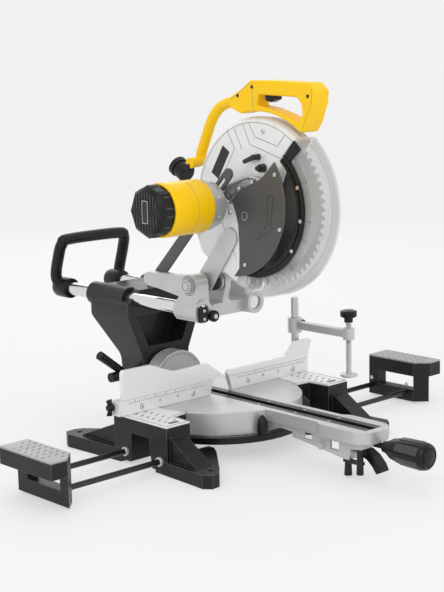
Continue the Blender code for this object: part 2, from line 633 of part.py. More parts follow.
def build_head():
    """The head's castings, guard, handles, motor and the spring that lifts it."""
    swing = pivot("head_axis", (0, *HINGE))
    y, z = ARBOR
    arm = plate("head_arm", hull_outline(HINGE, 0.022, (-0.078, 0.412), 0.019), -0.0455, -0.0418)
    knuckle = [
        (0.020, -0.0093), (0.020, -0.0140), (0.0125, -0.0145), (0.0125, -0.0385), (0.020, -0.0390),
        (0.020, -0.0452), (0.0078, -0.0452), (0.0078, -0.0093),
    ]
    join(arm, turned("knuckle", knuckle, (0, *HINGE), (1, 0, 0), 20))
    cut(arm, rod("pin_room", (-0.060, *HINGE), (0.0, *HINGE), 0.0082, segments=20))
    dress(arm, SILVER, swing)
    bearing = [(0.0225, -0.0258), (0.0225, -0.0292), (0.0127, -0.0292), (0.0127, -0.0258)]
    dress(turned("arbor_bearing", bearing, (0, y, z), (1, 0, 0), 20), STEEL, swing)

    cover = front_arc((-0.081, 0.479), 0.140, 35, -88, 28) + [
        (-0.050, 0.352), (-0.034, 0.400), (-0.022, 0.450), (-0.024, 0.505), (-0.050, 0.560), (-0.110, 0.592),
    ]
    mast = [(-0.140, 0.520), (-0.060, 0.520), (-0.040, 0.600), (-0.050, 0.6715), (-0.104, 0.6715), (-0.128, 0.600)]
    piece = plate("cover_plate", cover, -0.0415, -0.0388)
    join(
        piece,
        plate("mast", mast, -0.0413, -0.0390),
        box("lug", (-0.0410, -0.100, 0.6550), (-0.0185, -0.058, 0.6710)),
        plate("tab", hull_outline((-0.060, 0.540), 0.016, (0.046, 0.546), 0.013), -0.0411, -0.0392),
    )
    cut(piece, rod("neck_room", (-0.05, *MOTOR), (-0.03, *MOTOR), 0.0128))
    dress(piece, GREY, swing)

    case = plate("gear_case", hull_outline(ARBOR, 0.058, MOTOR, 0.030), -0.0385, -0.0230)
    cut(
        case,
        plate("gear_room", hull_outline(ARBOR, 0.0555, MOTOR, 0.0270), -0.0400, -0.0255),
        rod("arbor_room", (-0.030, y, z), (-0.020, y, z), 0.0130, segments=20),
    )
    dress(case, SILVER, swing)

    guard = plate("upper_guard", front_arc(ARBOR, UPPER_R, 50, 260, 40), -0.0225, 0.0200)
    inside = front_arc(ARBOR, UPPER_R - 0.0025, 40, 270, 44)
    cut(
        guard,
        plate("blade_room", inside, -0.0200, 0.0175),
        rod("left_hole", (-0.03, y, z), (-0.015, y, z), 0.0135, segments=12),
        rod("right_hole", (0.010, y, z), (0.03, y, z), 0.040, segments=12),
    )
    dress(guard, WHITE, swing)

    grip = [
        (-0.056, 0.6545), (-0.054, 0.672), (-0.090, 0.690), (-0.112, 0.704), (-0.150, 0.705),
        (-0.262, 0.700), (-0.278, 0.686), (-0.276, 0.664), (-0.262, 0.628), (-0.250, 0.612), (-0.236, 0.612),
    ] + front_arc(ARBOR, 0.1755, 56, 104, 8)
    hole = [
        (-0.128, 0.659), (-0.134, 0.678), (-0.228, 0.674), (-0.241, 0.662), (-0.243, 0.642), (-0.231, 0.630),
        (-0.205, 0.641), (-0.160, 0.654),
    ]
    handle = plate("main_handle", grip, -0.0180, 0.0180, holes=[hole])
    cut(handle, box("trigger_room", (-0.008, -0.1725, 0.671), (0.008, -0.1395, 0.6858)))
    dress(handle, YELLOW, swing)
    loop = [(0.006, -0.048, 0.664), (0.006, -0.014, 0.656), (0.006, 0.012, 0.636), (0.006, 0.050, 0.566),
            (0.006, 0.048, 0.550), (-0.030, 0.046, 0.546)]
    dress(tube("carry_handle", loop, 0.0105, 3), YELLOW, swing)
    squeeze = pivot("trigger_axis", (0, -0.140, 0.6765))
    trigger = [(-0.1405, 0.6810), (-0.1715, 0.6810), (-0.1700, 0.6690), (-0.1560, 0.6640), (-0.1420, 0.6670)]
    dress(plate("trigger", trigger, -0.0074, 0.0074), PLASTIC, squeeze)

    build_motor(swing)

    turns, wire, mean, facets = 5, 0.0018, 0.0155, 10
    coil = []
    for i in range(turns * facets + 1):
        a = 2 * math.pi * i / facets
        x = -0.0365 + 0.0200 * i / (turns * facets)
        coil.append((x, HINGE[0] + mean * math.cos(a), HINGE[1] + mean * math.sin(a)))
    dress(tube("return_spring", coil, wire, 1), PLASTIC, swing)
    return swing


def build_motor(swing):
    """The motor's shells, stator and bearing, and the armature with its pinion."""
    place = (0, *MOTOR)
    shell = [
        (NECK_R, -0.0418), (NECK_R, -0.0600), (MOTOR_R - 0.004, -0.0600), (MOTOR_R, -0.0640),
        (MOTOR_R, -0.2050), (MOTOR_R - 0.004, -0.2050), (MOTOR_R - 0.004, -0.0740), (0.0155, -0.0740),
        (0.0155, -0.0645), (0.0085, -0.0645), (0.0085, -0.0418),
    ]
    dress(turned("motor_housing", shell, place, (1, 0, 0)), YELLOW, swing)
    cap = [
        (0.0465, -0.2053), (0.0485, -0.2080), (0.0485, -0.2290), (0.0420, -0.2370), (0, -0.2370),
        (0, -0.2340), (0.0405, -0.2340), (0.0450, -0.2280), (0.0450, -0.2053),
    ]
    dress(turned("motor_end_cap", cap, place, (1, 0, 0), 8), PLASTIC, swing)
    stator = [(0.0455, -0.1000), (0.0455, -0.1700), (0.0310, -0.1700), (0.0310, -0.1000)]
    dress(turned("stator", stator, place, (1, 0, 0), 20), STEEL, swing)
    bearing = [(0.0150, -0.0650), (0.0150, -0.0735), (0.0064, -0.0735), (0.0064, -0.0650)]
    dress(turned("motor_bearing", bearing, place, (1, 0, 0), 16), STEEL, swing)
    spin = pivot("armature_axis", place)
    profile = [
        (0, -0.0290), (0.0060, -0.0290), (0.0060, -0.0790), (0.0400, -0.0800), (0.0400, -0.0870),
        (0.0100, -0.0875), (0.0100, -0.1045), (0.0285, -0.1050), (0.0285, -0.1650), (0.0100, -0.1655),
        (0.0100, -0.1780), (0.0150, -0.1785), (0.0150, -0.1950), (0.0050, -0.1955), (0.0050, -0.2280),
        (0, -0.2280),
    ]
    armature = turned("armature", profile, place, (1, 0, 0), 20)
    pinion = gear_outline(MOTOR, PINION_TEETH, MODULE, MESH_ANGLE + math.pi)
    join(armature, plate("pinion", pinion, -0.0368, -0.0298))
    dress(armature, COPPER, spin)


def build_blade():
    """The blade, the arbor with its gear and inner flange, and the outer flange with its bolt."""
    y, z = ARBOR
    spin = pivot("arbor_axis", (0, y, z))
    teeth = 36
    outline = []
    for i in range(teeth):
        for share, radius in ((0.0, BLADE_R), (0.35, BLADE_R - 0.0015), (0.50, BLADE_R - 0.0080)):
            a = -2 * math.pi * (i + share) / teeth
            outline.append((y + radius * math.cos(a), z + radius * math.sin(a)))
    blade = plate("saw_blade", outline, -BLADE_T / 2, BLADE_T / 2)
    cut(blade, rod("bore", (-0.01, y, z), (0.01, y, z), 0.0128, segments=12))
    dress(blade, STEEL, spin)
    profile = [
        (0, 0.0100), (0.0120, 0.0100), (0.0120, -0.0015), (0.0300, -0.0015), (0.0300, -0.0090),
        (0.0120, -0.0120), (0.0120, -0.0375), (0, -0.0375),
    ]
    arbor = turned("arbor_shaft", profile, (0, y, z), (1, 0, 0), 20)
    wheel = gear_outline(ARBOR, GEAR_TEETH, MODULE, MESH_ANGLE + math.pi / GEAR_TEETH)
    join(arbor, plate("wheel", wheel, -0.0365, -0.0300))
    dress(arbor, STEEL, spin)
    outer = [
        (0, 0.0165), (0.0095, 0.0165), (0.0095, 0.0105), (0.0200, 0.0100), (0.0300, 0.0060),
        (0.0300, 0.0015), (0.0126, 0.0015), (0.0126, 0.0103), (0, 0.0103),
    ]
    dress(turned("outer_flange", outer, (0, y, z), (1, 0, 0), 20), STEEL, spin)


def build_lower_guard():
    """The clear lower guard and the black ring that carries it."""
    y, z = ARBOR
    turn = pivot("lower_guard_axis", (0, y, z))
    channel = [
        (LOWER_R, 0.0245), (LOWER_R, -0.0290), (0.117, -0.0290), (0.117, -0.0265), (LOWER_R - 0.0025, -0.0265),
        (LOWER_R - 0.0025, 0.0220), (0.117, 0.0220), (0.117, 0.0245),
    ]
    guard = turned("lower_guard", channel, (0, y, z), (1, 0, 0), 60)
    away = [(y, z)] + front_arc(ARBOR, 0.24, 50, 260, 30)
    cut(guard, plate("away", away, -0.05, 0.05))
    dress(guard, CLEAR, turn)
    ring = [(0.131, -0.0293), (0.131, -0.0345), (0.115, -0.0345), (0.115, -0.0293)]
    dress(turned("guard_ring", ring, (0, y, z), (1, 0, 0), 40), PLASTIC, turn)


def build_link():
    """The flat link from the carriage to the head, with its slot."""
    turn = pivot("link_axis", (0, *LINK_PIVOT))
    a, b = Vector(LINK_PIVOT), Vector(LINK_TOP)
    along = (b - a).normalized()
    link = plate("link_arm", hull_outline(LINK_PIVOT, 0.0125, LINK_TOP, 0.0105), -0.0515, -0.0467)
    start, end = b - along * 0.016, b - along * 0.066
    cut(
        link,
        plate("slot", hull_outline(tuple(start), 0.0040, tuple(end), 0.00395), -0.06, -0.04),
        rod("pin_bore", (-0.06, *LINK_PIVOT), (-0.04, *LINK_PIVOT), 0.0054, segments=14),
    )
    dress(link, GREY, turn)


def build_clamp():
    """The work clamp: a fixed post, an arm that swings on it, a screw and its foot."""
    post = turned(
        "clamp_post",
        [(0, 0.250), (0.006, 0.250), (0.008, 0.248), (0.008, TABLE_Z + GAP), (0, TABLE_Z + GAP)],
        (CLAMP_X, CLAMP_Y, 0), (0, 0, 1), 24,
    )
    dress(post, STEEL)
    turn = pivot("clamp_arm_axis", (CLAMP_X, CLAMP_Y, 0.19))
    tip = CLAMP_Y - CLAMP_REACH
    arm = box("clamp_arm", (CLAMP_X - 0.008, tip, 0.184), (CLAMP_X + 0.008, CLAMP_Y, 0.199))
    join(
        arm,
        rod("hub", (CLAMP_X, CLAMP_Y, 0.175), (CLAMP_X, CLAMP_Y, 0.206), 0.0150, segments=16),
        rod("nut", (CLAMP_X, tip, 0.180), (CLAMP_X, tip, 0.203), 0.0120, segments=16),
    )
    cut(
        arm,
        rod("post_bore", (CLAMP_X, CLAMP_Y, 0.16), (CLAMP_X, CLAMP_Y, 0.22), 0.0083, segments=16),
        rod("screw_bore", (CLAMP_X, tip, 0.16), (CLAMP_X, tip, 0.22), 0.0064, segments=16),
    )
    dress(arm, SILVER, turn)
    screw_axis = pivot("clamp_screw_axis", (CLAMP_X, tip, 0.19))
    profile = [
        (0, 0.2400), (0.0150, 0.2400), (0.0170, 0.2380), (0.0170, 0.2270), (0.0150, 0.2250),
        (0.0090, 0.2240), (0.0090, 0.2150), (0.0060, 0.2145), (0.0060, 0.1260), (0, 0.1260),
    ]
    dress(turned("clamp_screw", profile, (CLAMP_X, tip, 0), (0, 0, 1), 16), STEEL, screw_axis)
    feed = pivot("clamp_foot_slide", (CLAMP_X, tip, 0.11))
    foot = [
        (0, 0.1255), (0.0050, 0.1255), (0.0055, 0.1100), (0.0170, 0.1090), (0.0175, 0.1040),
        (0.0165, 0.1030), (0, 0.1030),
    ]
    dress(turned("clamp_foot", foot, (CLAMP_X, tip, 0), (0, 0, 1), 16), STEEL, feed)


def main():
    """Build every piece of the saw."""
    clear_scene()
    build_base()
    build_fences()
    build_supports()
    build_turntable()
    build_column()
    build_carriage()
    build_head()
    build_blade()
    build_lower_guard()
    build_link()
    build_clamp()


main()
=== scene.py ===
"""Looks of the sliding miter saw: its finishes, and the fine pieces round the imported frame.

Metres, +X to the operator's right, +Y to the rear, +Z up. Places come from the frame's nodes.
"""

from __future__ import annotations

import json
import logging
import math
from dataclasses import dataclass
from enum import Enum
from typing import Any, Iterable, Sequence

import bmesh
import bpy
from mathutils import Matrix, Vector

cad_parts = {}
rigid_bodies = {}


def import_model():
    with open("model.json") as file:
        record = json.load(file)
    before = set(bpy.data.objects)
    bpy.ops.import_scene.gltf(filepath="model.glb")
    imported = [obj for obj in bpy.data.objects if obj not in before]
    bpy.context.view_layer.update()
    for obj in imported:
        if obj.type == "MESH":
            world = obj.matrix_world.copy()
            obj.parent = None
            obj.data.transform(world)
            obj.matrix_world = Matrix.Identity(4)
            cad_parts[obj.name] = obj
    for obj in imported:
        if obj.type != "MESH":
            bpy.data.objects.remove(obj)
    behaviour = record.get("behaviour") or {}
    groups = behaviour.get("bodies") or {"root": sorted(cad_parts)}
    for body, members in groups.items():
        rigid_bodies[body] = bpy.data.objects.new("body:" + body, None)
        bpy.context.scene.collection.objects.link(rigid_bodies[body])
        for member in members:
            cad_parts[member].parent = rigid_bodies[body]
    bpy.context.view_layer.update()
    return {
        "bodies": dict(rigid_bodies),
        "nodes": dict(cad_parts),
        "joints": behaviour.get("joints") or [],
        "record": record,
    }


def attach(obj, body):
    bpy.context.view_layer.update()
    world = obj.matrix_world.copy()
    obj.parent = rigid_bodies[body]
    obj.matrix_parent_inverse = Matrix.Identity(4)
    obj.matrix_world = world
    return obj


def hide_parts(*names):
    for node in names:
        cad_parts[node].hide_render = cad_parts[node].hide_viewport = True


LOG = logging.getLogger("miter_saw")

Point2 = tuple[float, float]
Point3 = Sequence[float]


class Plane(Enum):
    """The plane that an outline is drawn in; its thickness runs along the third axis."""

    YZ = "YZ"
    XZ = "XZ"
    XY = "XY"

    def place(self, u: float, v: float, depth: float) -> Vector:
        """The point of outline coordinates u, v at a depth across the plane."""
        if self is Plane.YZ:
            return Vector((depth, u, v))
        if self is Plane.XZ:
            return Vector((u, depth, v))
        return Vector((u, v, depth))


class Slot(Enum):
    """The record's material slots."""

    BLACK_CASTING = "black_casting"
    GREY_CASTING = "grey_casting"
    SILVER_CASTING = "silver_casting"
    MACHINED = "machined_aluminium"
    STEEL = "steel"
    RAIL = "rail_steel"
    BLADE = "blade_steel"
    BLACK_PLASTIC = "black_plastic"
    GREY_PLASTIC = "grey_plastic"
    YELLOW = "yellow_plastic"
    CLEAR = "clear_plastic"
    COPPER = "copper"


# Shader toolkit -----------------------------------------------------------------------------
class Port:
    """A node's output, with arithmetic that adds Math nodes to its material."""

    def __init__(self, graph: "Graph", socket: Any) -> None:
        """Wrap an output socket of a graph."""
        self.graph = graph
        self.socket = socket

    def _math(self, operation: str, first: Any, second: Any = None) -> "Port":
        """A Math node over one or two values."""
        values = {0: first} if second is None else {0: first, 1: second}
        return self.graph.node("ShaderNodeMath", {"operation": operation}, values)

    def __add__(self, other: Any) -> "Port":
        """The sum."""
        return self._math("ADD", self, other)

    __radd__ = __add__

    def __sub__(self, other: Any) -> "Port":
        """The difference."""
        return self._math("SUBTRACT", self, other)

    def __rsub__(self, other: Any) -> "Port":
        """The difference, from a number."""
        return self._math("SUBTRACT", other, self)

    def __mul__(self, other: Any) -> "Port":
        """The product."""
        return self._math("MULTIPLY", self, other)

    __rmul__ = __mul__

    def clamped(self) -> "Port":
        """The value held between 0 and 1."""
        return self._math("MINIMUM", self._math("MAXIMUM", self, 0.0), 1.0)

    def above(self, edge: float, width: float) -> "Port":
        """A soft step from 0 to 1 round an edge."""
        return ((self - edge) * (1.0 / width) + 0.5).clamped()


class Graph:
    """The node tree of one material."""

    def __init__(self, name: str) -> None:
        """Start a material with its Principled shader."""
        self.material = bpy.data.materials.new(name)
        self.material.use_nodes = True
        self.tree = self.material.node_tree
        self.shader = self.tree.nodes["Principled BSDF"]

    def link(self, target: Any, value: Any) -> None:
        """Join a port to a socket, or set the socket's value."""
        if isinstance(value, Port):
            self.tree.links.new(value.socket, target)
        else:
            target.default_value = value

    def node(
        self, kind: str, settings: dict[str, Any], sockets: dict[Any, Any], output: Any = 0
    ) -> Port:
        """Add a node.

        Args:
            kind: The node's type.
            settings: Its settings, with a ramp's stops under "stops".
            sockets: Values or ports for its inputs, by name or index.
            output: The output wanted, by name or index.

        Returns:
            The port of that output.
        """
        made = self.tree.nodes.new(kind)
        for key, value in settings.items():
            if key == "stops":
                ramp = made.color_ramp.elements
                while len(ramp) < len(value):
                    ramp.new(0.5)
                for element, (place, colour) in zip(ramp, value):
                    element.position = place
                    element.color = colour
            else:
                setattr(made, key, value)
        for key, value in sockets.items():
            self.link(made.inputs[key], value)
        return Port(self, made.outputs[output])

    def place(self, stretch: Point3 = (1.0, 1.0, 1.0)) -> Port:
        """The row frame's coordinates, stretched along each axis."""
        spot = self.node("ShaderNodeTexCoord", {}, {}, "Object")
        return self.node(
            "ShaderNodeVectorMath", {"operation": "MULTIPLY"}, {0: spot, 1: tuple(stretch)}
        )

    def noise(self, scale: float, detail: float = 3.0, stretch: Point3 = (1, 1, 1)) -> Port:
        """A noise value; scale is in waves a metre."""
        return self.node(
            "ShaderNodeTexNoise", {}, {"Vector": self.place(stretch), "Scale": scale, "Detail": detail}
        )

    def mix(self, share: Any, first: Any, second: Any) -> Port:
        """A colour between two, by a share from 0 to 1."""
        sockets = {0: share, 6: first, 7: second}
        return self.node("ShaderNodeMix", {"data_type": "RGBA"}, sockets, 2)

    def edge(self, radius: float) -> Port:
        """A mask that is 1 along outer and inner edges."""
        rounded = self.node("ShaderNodeBevel", {"samples": 4}, {"Radius": radius})
        flat = self.node("ShaderNodeNewGeometry", {}, {}, "Normal")
        like = self.node(
            "ShaderNodeVectorMath", {"operation": "DOT_PRODUCT"}, {0: rounded, 1: flat}, "Value"
        )
        return ((1.0 - like) * 9.0).clamped()

    def bump(self, height: Port, strength: float, distance: float) -> Port:
        """A bumped normal."""
        sockets = {"Height": height, "Strength": strength, "Distance": distance}
        return self.node("ShaderNodeBump", {}, sockets)

    def shade(self, **sockets: Any) -> bpy.types.Material:
        """Feed the shader's sockets, written with _ for a space, and give the material."""
        for name, value in sockets.items():
            self.link(self.shader.inputs[name.replace("_", " ")], value)
        return self.material


def rgba(colour: Point3) -> tuple[float, float, float, float]:
    """A colour with full alpha."""
    return (colour[0], colour[1], colour[2], 1.0)


def grey(value: float) -> tuple[float, float, float]:
    """A neutral colour."""
    return (value, value, value)


@dataclass(frozen=True)
class Casting:
    """A painted or blasted casting: fine pebbled skin, uneven gloss and tinted edges, worn lighter on most
    finishes and darker on the link, where the tint is painted shade along edges and creases.
    """

    name: str
    colour: Point3
    # The edge colour: worn paint where it is lighter than the face, painted shade where it is darker.
    rubbed: Point3
    roughness: float = 0.45
    metallic: float = 0.0
    wear: float = 0.6
    pebble: float = 900.0
    depth: float = 0.00012
    coat: float = 0.0
    shine: float = 0.30

    def material(self) -> bpy.types.Material:
        """Build the material."""
        graph = Graph(self.name)
        broad = graph.noise(24.0)
        fine = graph.noise(self.pebble, 2.0)
        patchy = graph.noise(160.0).above(0.5, 0.5)
        # Edge tint over outer and inner edges: a lighter edge colour is rubbed wear; a darker one, as on the
        # link, is painted shade along edges and creases.
        edge_tint_mask = (graph.edge(0.0013) * (patchy * 0.7 + 0.3) * self.wear).clamped()
        darker = tuple(c * 0.82 for c in self.colour)
        skin = graph.mix(broad, rgba(self.colour), rgba(darker))
        return graph.shade(
            Base_Color=graph.mix(edge_tint_mask, skin, rgba(self.rubbed)),
            Roughness=(broad * 0.16 + (self.roughness - 0.08)) - edge_tint_mask * 0.1,
            Metallic=self.metallic,
            Coat_Weight=self.coat,
            Specular_IOR_Level=self.shine,
            Normal=graph.bump(fine, 0.5, self.depth),
        )


@dataclass(frozen=True)
class Brushed:
    """A machined face: long fine scratches along one axis, with slight smudging."""

    name: str
    colour: Point3
    along: Point3 = (0.05, 1.0, 1.0)
    roughness: float = 0.3
    metallic: float = 0.9
    scratch: float = 1500.0
    depth: float = 0.00004

    def material(self) -> bpy.types.Material:
        """Build the material."""
        graph = Graph(self.name)
        lines = graph.noise(self.scratch, 3.0, self.along)
        smudge = graph.noise(14.0)
        darker = tuple(c * 0.86 for c in self.colour)
        edge_tint_mask = graph.edge(0.0008) * 0.5
        skin = graph.mix((lines * 0.6 + smudge * 0.4).clamped(), rgba(self.colour), rgba(darker))
        return graph.shade(
            Base_Color=graph.mix(edge_tint_mask.clamped(), skin, rgba(grey(0.95))),
            Roughness=lines * 0.15 + smudge * 0.12 + (self.roughness - 0.13),
            Metallic=self.metallic,
            Normal=graph.bump(lines, 0.4, self.depth),
        )


@dataclass(frozen=True)
class Moulded:
    """A moulded plastic: a faint spark-eroded texture, and a gloss that handling has evened."""

    name: str
    colour: Point3
    roughness: float = 0.4
    coat: float = 0.0
    pebble: float = 1400.0
    depth: float = 0.00005
    polish: float = 0.35
    shine: float = 0.28

    def material(self) -> bpy.types.Material:
        """Build the material."""
        graph = Graph(self.name)
        broad = graph.noise(18.0)
        fine = graph.noise(self.pebble, 2.0)
        lighter = tuple(min(1.0, c * 1.25 + 0.004) for c in self.colour)
        worn = (graph.edge(0.0010) * self.polish).clamped()
        skin = graph.mix(broad * 0.35, rgba(self.colour), rgba(tuple(c * 0.8 for c in self.colour)))
        return graph.shade(
            Base_Color=graph.mix(worn, skin, rgba(lighter)),
            Roughness=(broad * 0.14 + (self.roughness - 0.07)) - worn * 0.15,
            Coat_Weight=self.coat,
            Specular_IOR_Level=self.shine,
            Normal=graph.bump(fine, 0.4, self.depth),
        )


@dataclass(frozen=True)
class Clear:
    """Clear polycarbonate with faint flow marks; heavier where it is thick."""

    name: str
    colour: Point3
    alpha: float = 0.3

    def material(self) -> bpy.types.Material:
        """Build the material."""
        graph = Graph(self.name)
        flow = graph.noise(22.0, 4.0, (1.0, 1.0, 0.5))
        fine = graph.noise(260.0)
        edge = graph.edge(0.0012)
        return graph.shade(
            Base_Color=graph.mix(flow, rgba(self.colour), rgba(tuple(c * 0.8 for c in self.colour))),
            Roughness=flow * 0.12 + 0.04,
            Alpha=(flow * 0.14 + edge * 0.3 + (self.alpha - 0.07)).clamped(),
            Normal=graph.bump(flow * 0.8 + fine * 0.2, 0.25, 0.0006),
        )


class Finish(Enum):
    """The finishes of the saw, each made into a material once."""

    BLACK_CASTING = Casting("black_casting_paint", grey(0.0075), grey(0.30), 0.42, 0.0, 0.75, coat=0.05)
    GREY_CASTING = Casting("grey_casting_paint", grey(0.055), grey(0.34), 0.38, 0.2, 0.5, coat=0.1)
    COLUMN = Casting("column_paint", grey(0.018), grey(0.32), 0.34, 0.1, 0.6, coat=0.12)
    COVER = Casting("cover_plate_paint", grey(0.105), grey(0.5), 0.42, 0.3, 0.5, pebble=1500.0)
    # The link's edge colour, grey(0.03), is darker than its face: painted shade along its edges and creases.
    LINK = Casting("link_zinc", grey(0.115), grey(0.03), 0.4, 0.3, 0.5, pebble=1600.0)
    SILVER_CASTING = Casting("silver_casting_metal", grey(0.62), grey(0.9), 0.34, 0.55, 0.5)
    TABLE = Casting("turntable_metal", grey(0.60), grey(0.92), 0.36, 0.45, 0.6, pebble=1300.0, depth=0.00006)
    PAD = Casting("support_pad_metal", grey(0.42), grey(0.8), 0.4, 0.4, 0.5)
    GUARD = Casting("guard_enamel", grey(0.86), grey(0.97), 0.30, 0.15, 0.3, pebble=1500.0, depth=0.00004)
    MACHINED = Brushed("machined_aluminium_face", grey(0.90), roughness=0.34, metallic=0.35)
    STEEL = Brushed("ground_steel", grey(0.62), (1.0, 0.08, 1.0), 0.27, 0.95)
    RAIL = Brushed("chromed_rail", grey(0.80), (1.0, 0.03, 1.0), 0.16, 1.0, depth=0.00001)
    ROD = Brushed("blackened_rod", grey(0.05), (0.03, 1.0, 1.0), 0.25, 0.8, depth=0.00001)
    BLADE = Brushed("saw_plate", grey(0.60), (1.0, 0.6, 0.6), 0.3, 0.9)
    BLACK_PLASTIC = Moulded("black_nylon", grey(0.006), 0.34, 0.05)
    GREY_PLASTIC = Moulded("grey_grip", grey(0.060), 0.42)
    YELLOW = Moulded("yellow_shell", (0.98, 0.60, 0.0), 0.38, 0.04, depth=0.00002, polish=0.2)
    CLEAR = Clear("clear_guard", grey(0.88), 0.20)
    CLEAR_RIB = Clear("clear_guard_rib", grey(0.30), 0.72)
    CLEAR_RIM = Clear("clear_guard_rim", grey(0.66), 0.36)
    COPPER = Casting("winding_copper", (0.55, 0.25, 0.10), (0.8, 0.5, 0.3), 0.35, 0.9, 0.3)
    SPRING = Moulded("spring_black_oxide", grey(0.018), 0.3, 0.2)
    # Dark grey ribbons laid over grooves, seams, folds and edges: painted shade, not a colour the parts have.
    INK = Moulded("printed_ink", grey(0.03), 0.5)
    SEAM = Moulded("seam_shadow", grey(0.22), 0.6)
    LABEL = Moulded("label_film", grey(0.006), 0.25, 0.4)

    def look(self) -> bpy.types.Material:
        """The material, built the first time it is asked for."""
        found = bpy.data.materials.get(self.value.name)
        return found or self.value.material()


SLOT_FINISH = {
    Slot.BLACK_CASTING: Finish.BLACK_CASTING,
    Slot.GREY_CASTING: Finish.GREY_CASTING,
    Slot.SILVER_CASTING: Finish.SILVER_CASTING,
    Slot.MACHINED: Finish.MACHINED,
    Slot.STEEL: Finish.STEEL,
    Slot.RAIL: Finish.RAIL,
    Slot.BLADE: Finish.BLADE,
    Slot.BLACK_PLASTIC: Finish.BLACK_PLASTIC,
    Slot.GREY_PLASTIC: Finish.GREY_PLASTIC,
    Slot.YELLOW: Finish.YELLOW,
    Slot.CLEAR: Finish.CLEAR,
    Slot.COPPER: Finish.COPPER,
}


# Shape toolkit ------------------------------------------------------------------------------
def facing(axis: Point3) -> Matrix:
    """The rotation that turns +Z to an axis."""
    return Vector((0, 0, 1)).rotation_difference(Vector(axis)).to_matrix().to_4x4()


def arc(centre: Point2, radius: float, start: float, end: float, steps: int) -> list[Point2]:
    """Points on an arc, in degrees from the first axis towards the second."""
    angles = [math.radians(start + (end - start) * i / steps) for i in range(steps + 1)]
    return [(centre[0] + radius * math.cos(a), centre[1] + radius * math.sin(a)) for a in angles]


def belt(first: Point2, first_r: float, second: Point2, second_r: float, steps: int = 20) -> list[Point2]:
    """The outline of a belt round two circles.

    Args:
        first: The first circle's centre.
        first_r: Its radius.
        second: The second circle's centre.
        second_r: Its radius.
        steps: Steps round each circle.

    Returns:
        The outline's points.
    """
    between = Vector(second) - Vector(first)
    heading = math.degrees(math.atan2(between.y, between.x))
    spread = math.degrees(math.acos((first_r - second_r) / between.length))
    return arc(first, first_r, heading + spread, heading + 360 - spread, steps) + arc(
        second, second_r, heading - spread, heading + spread, steps
    )


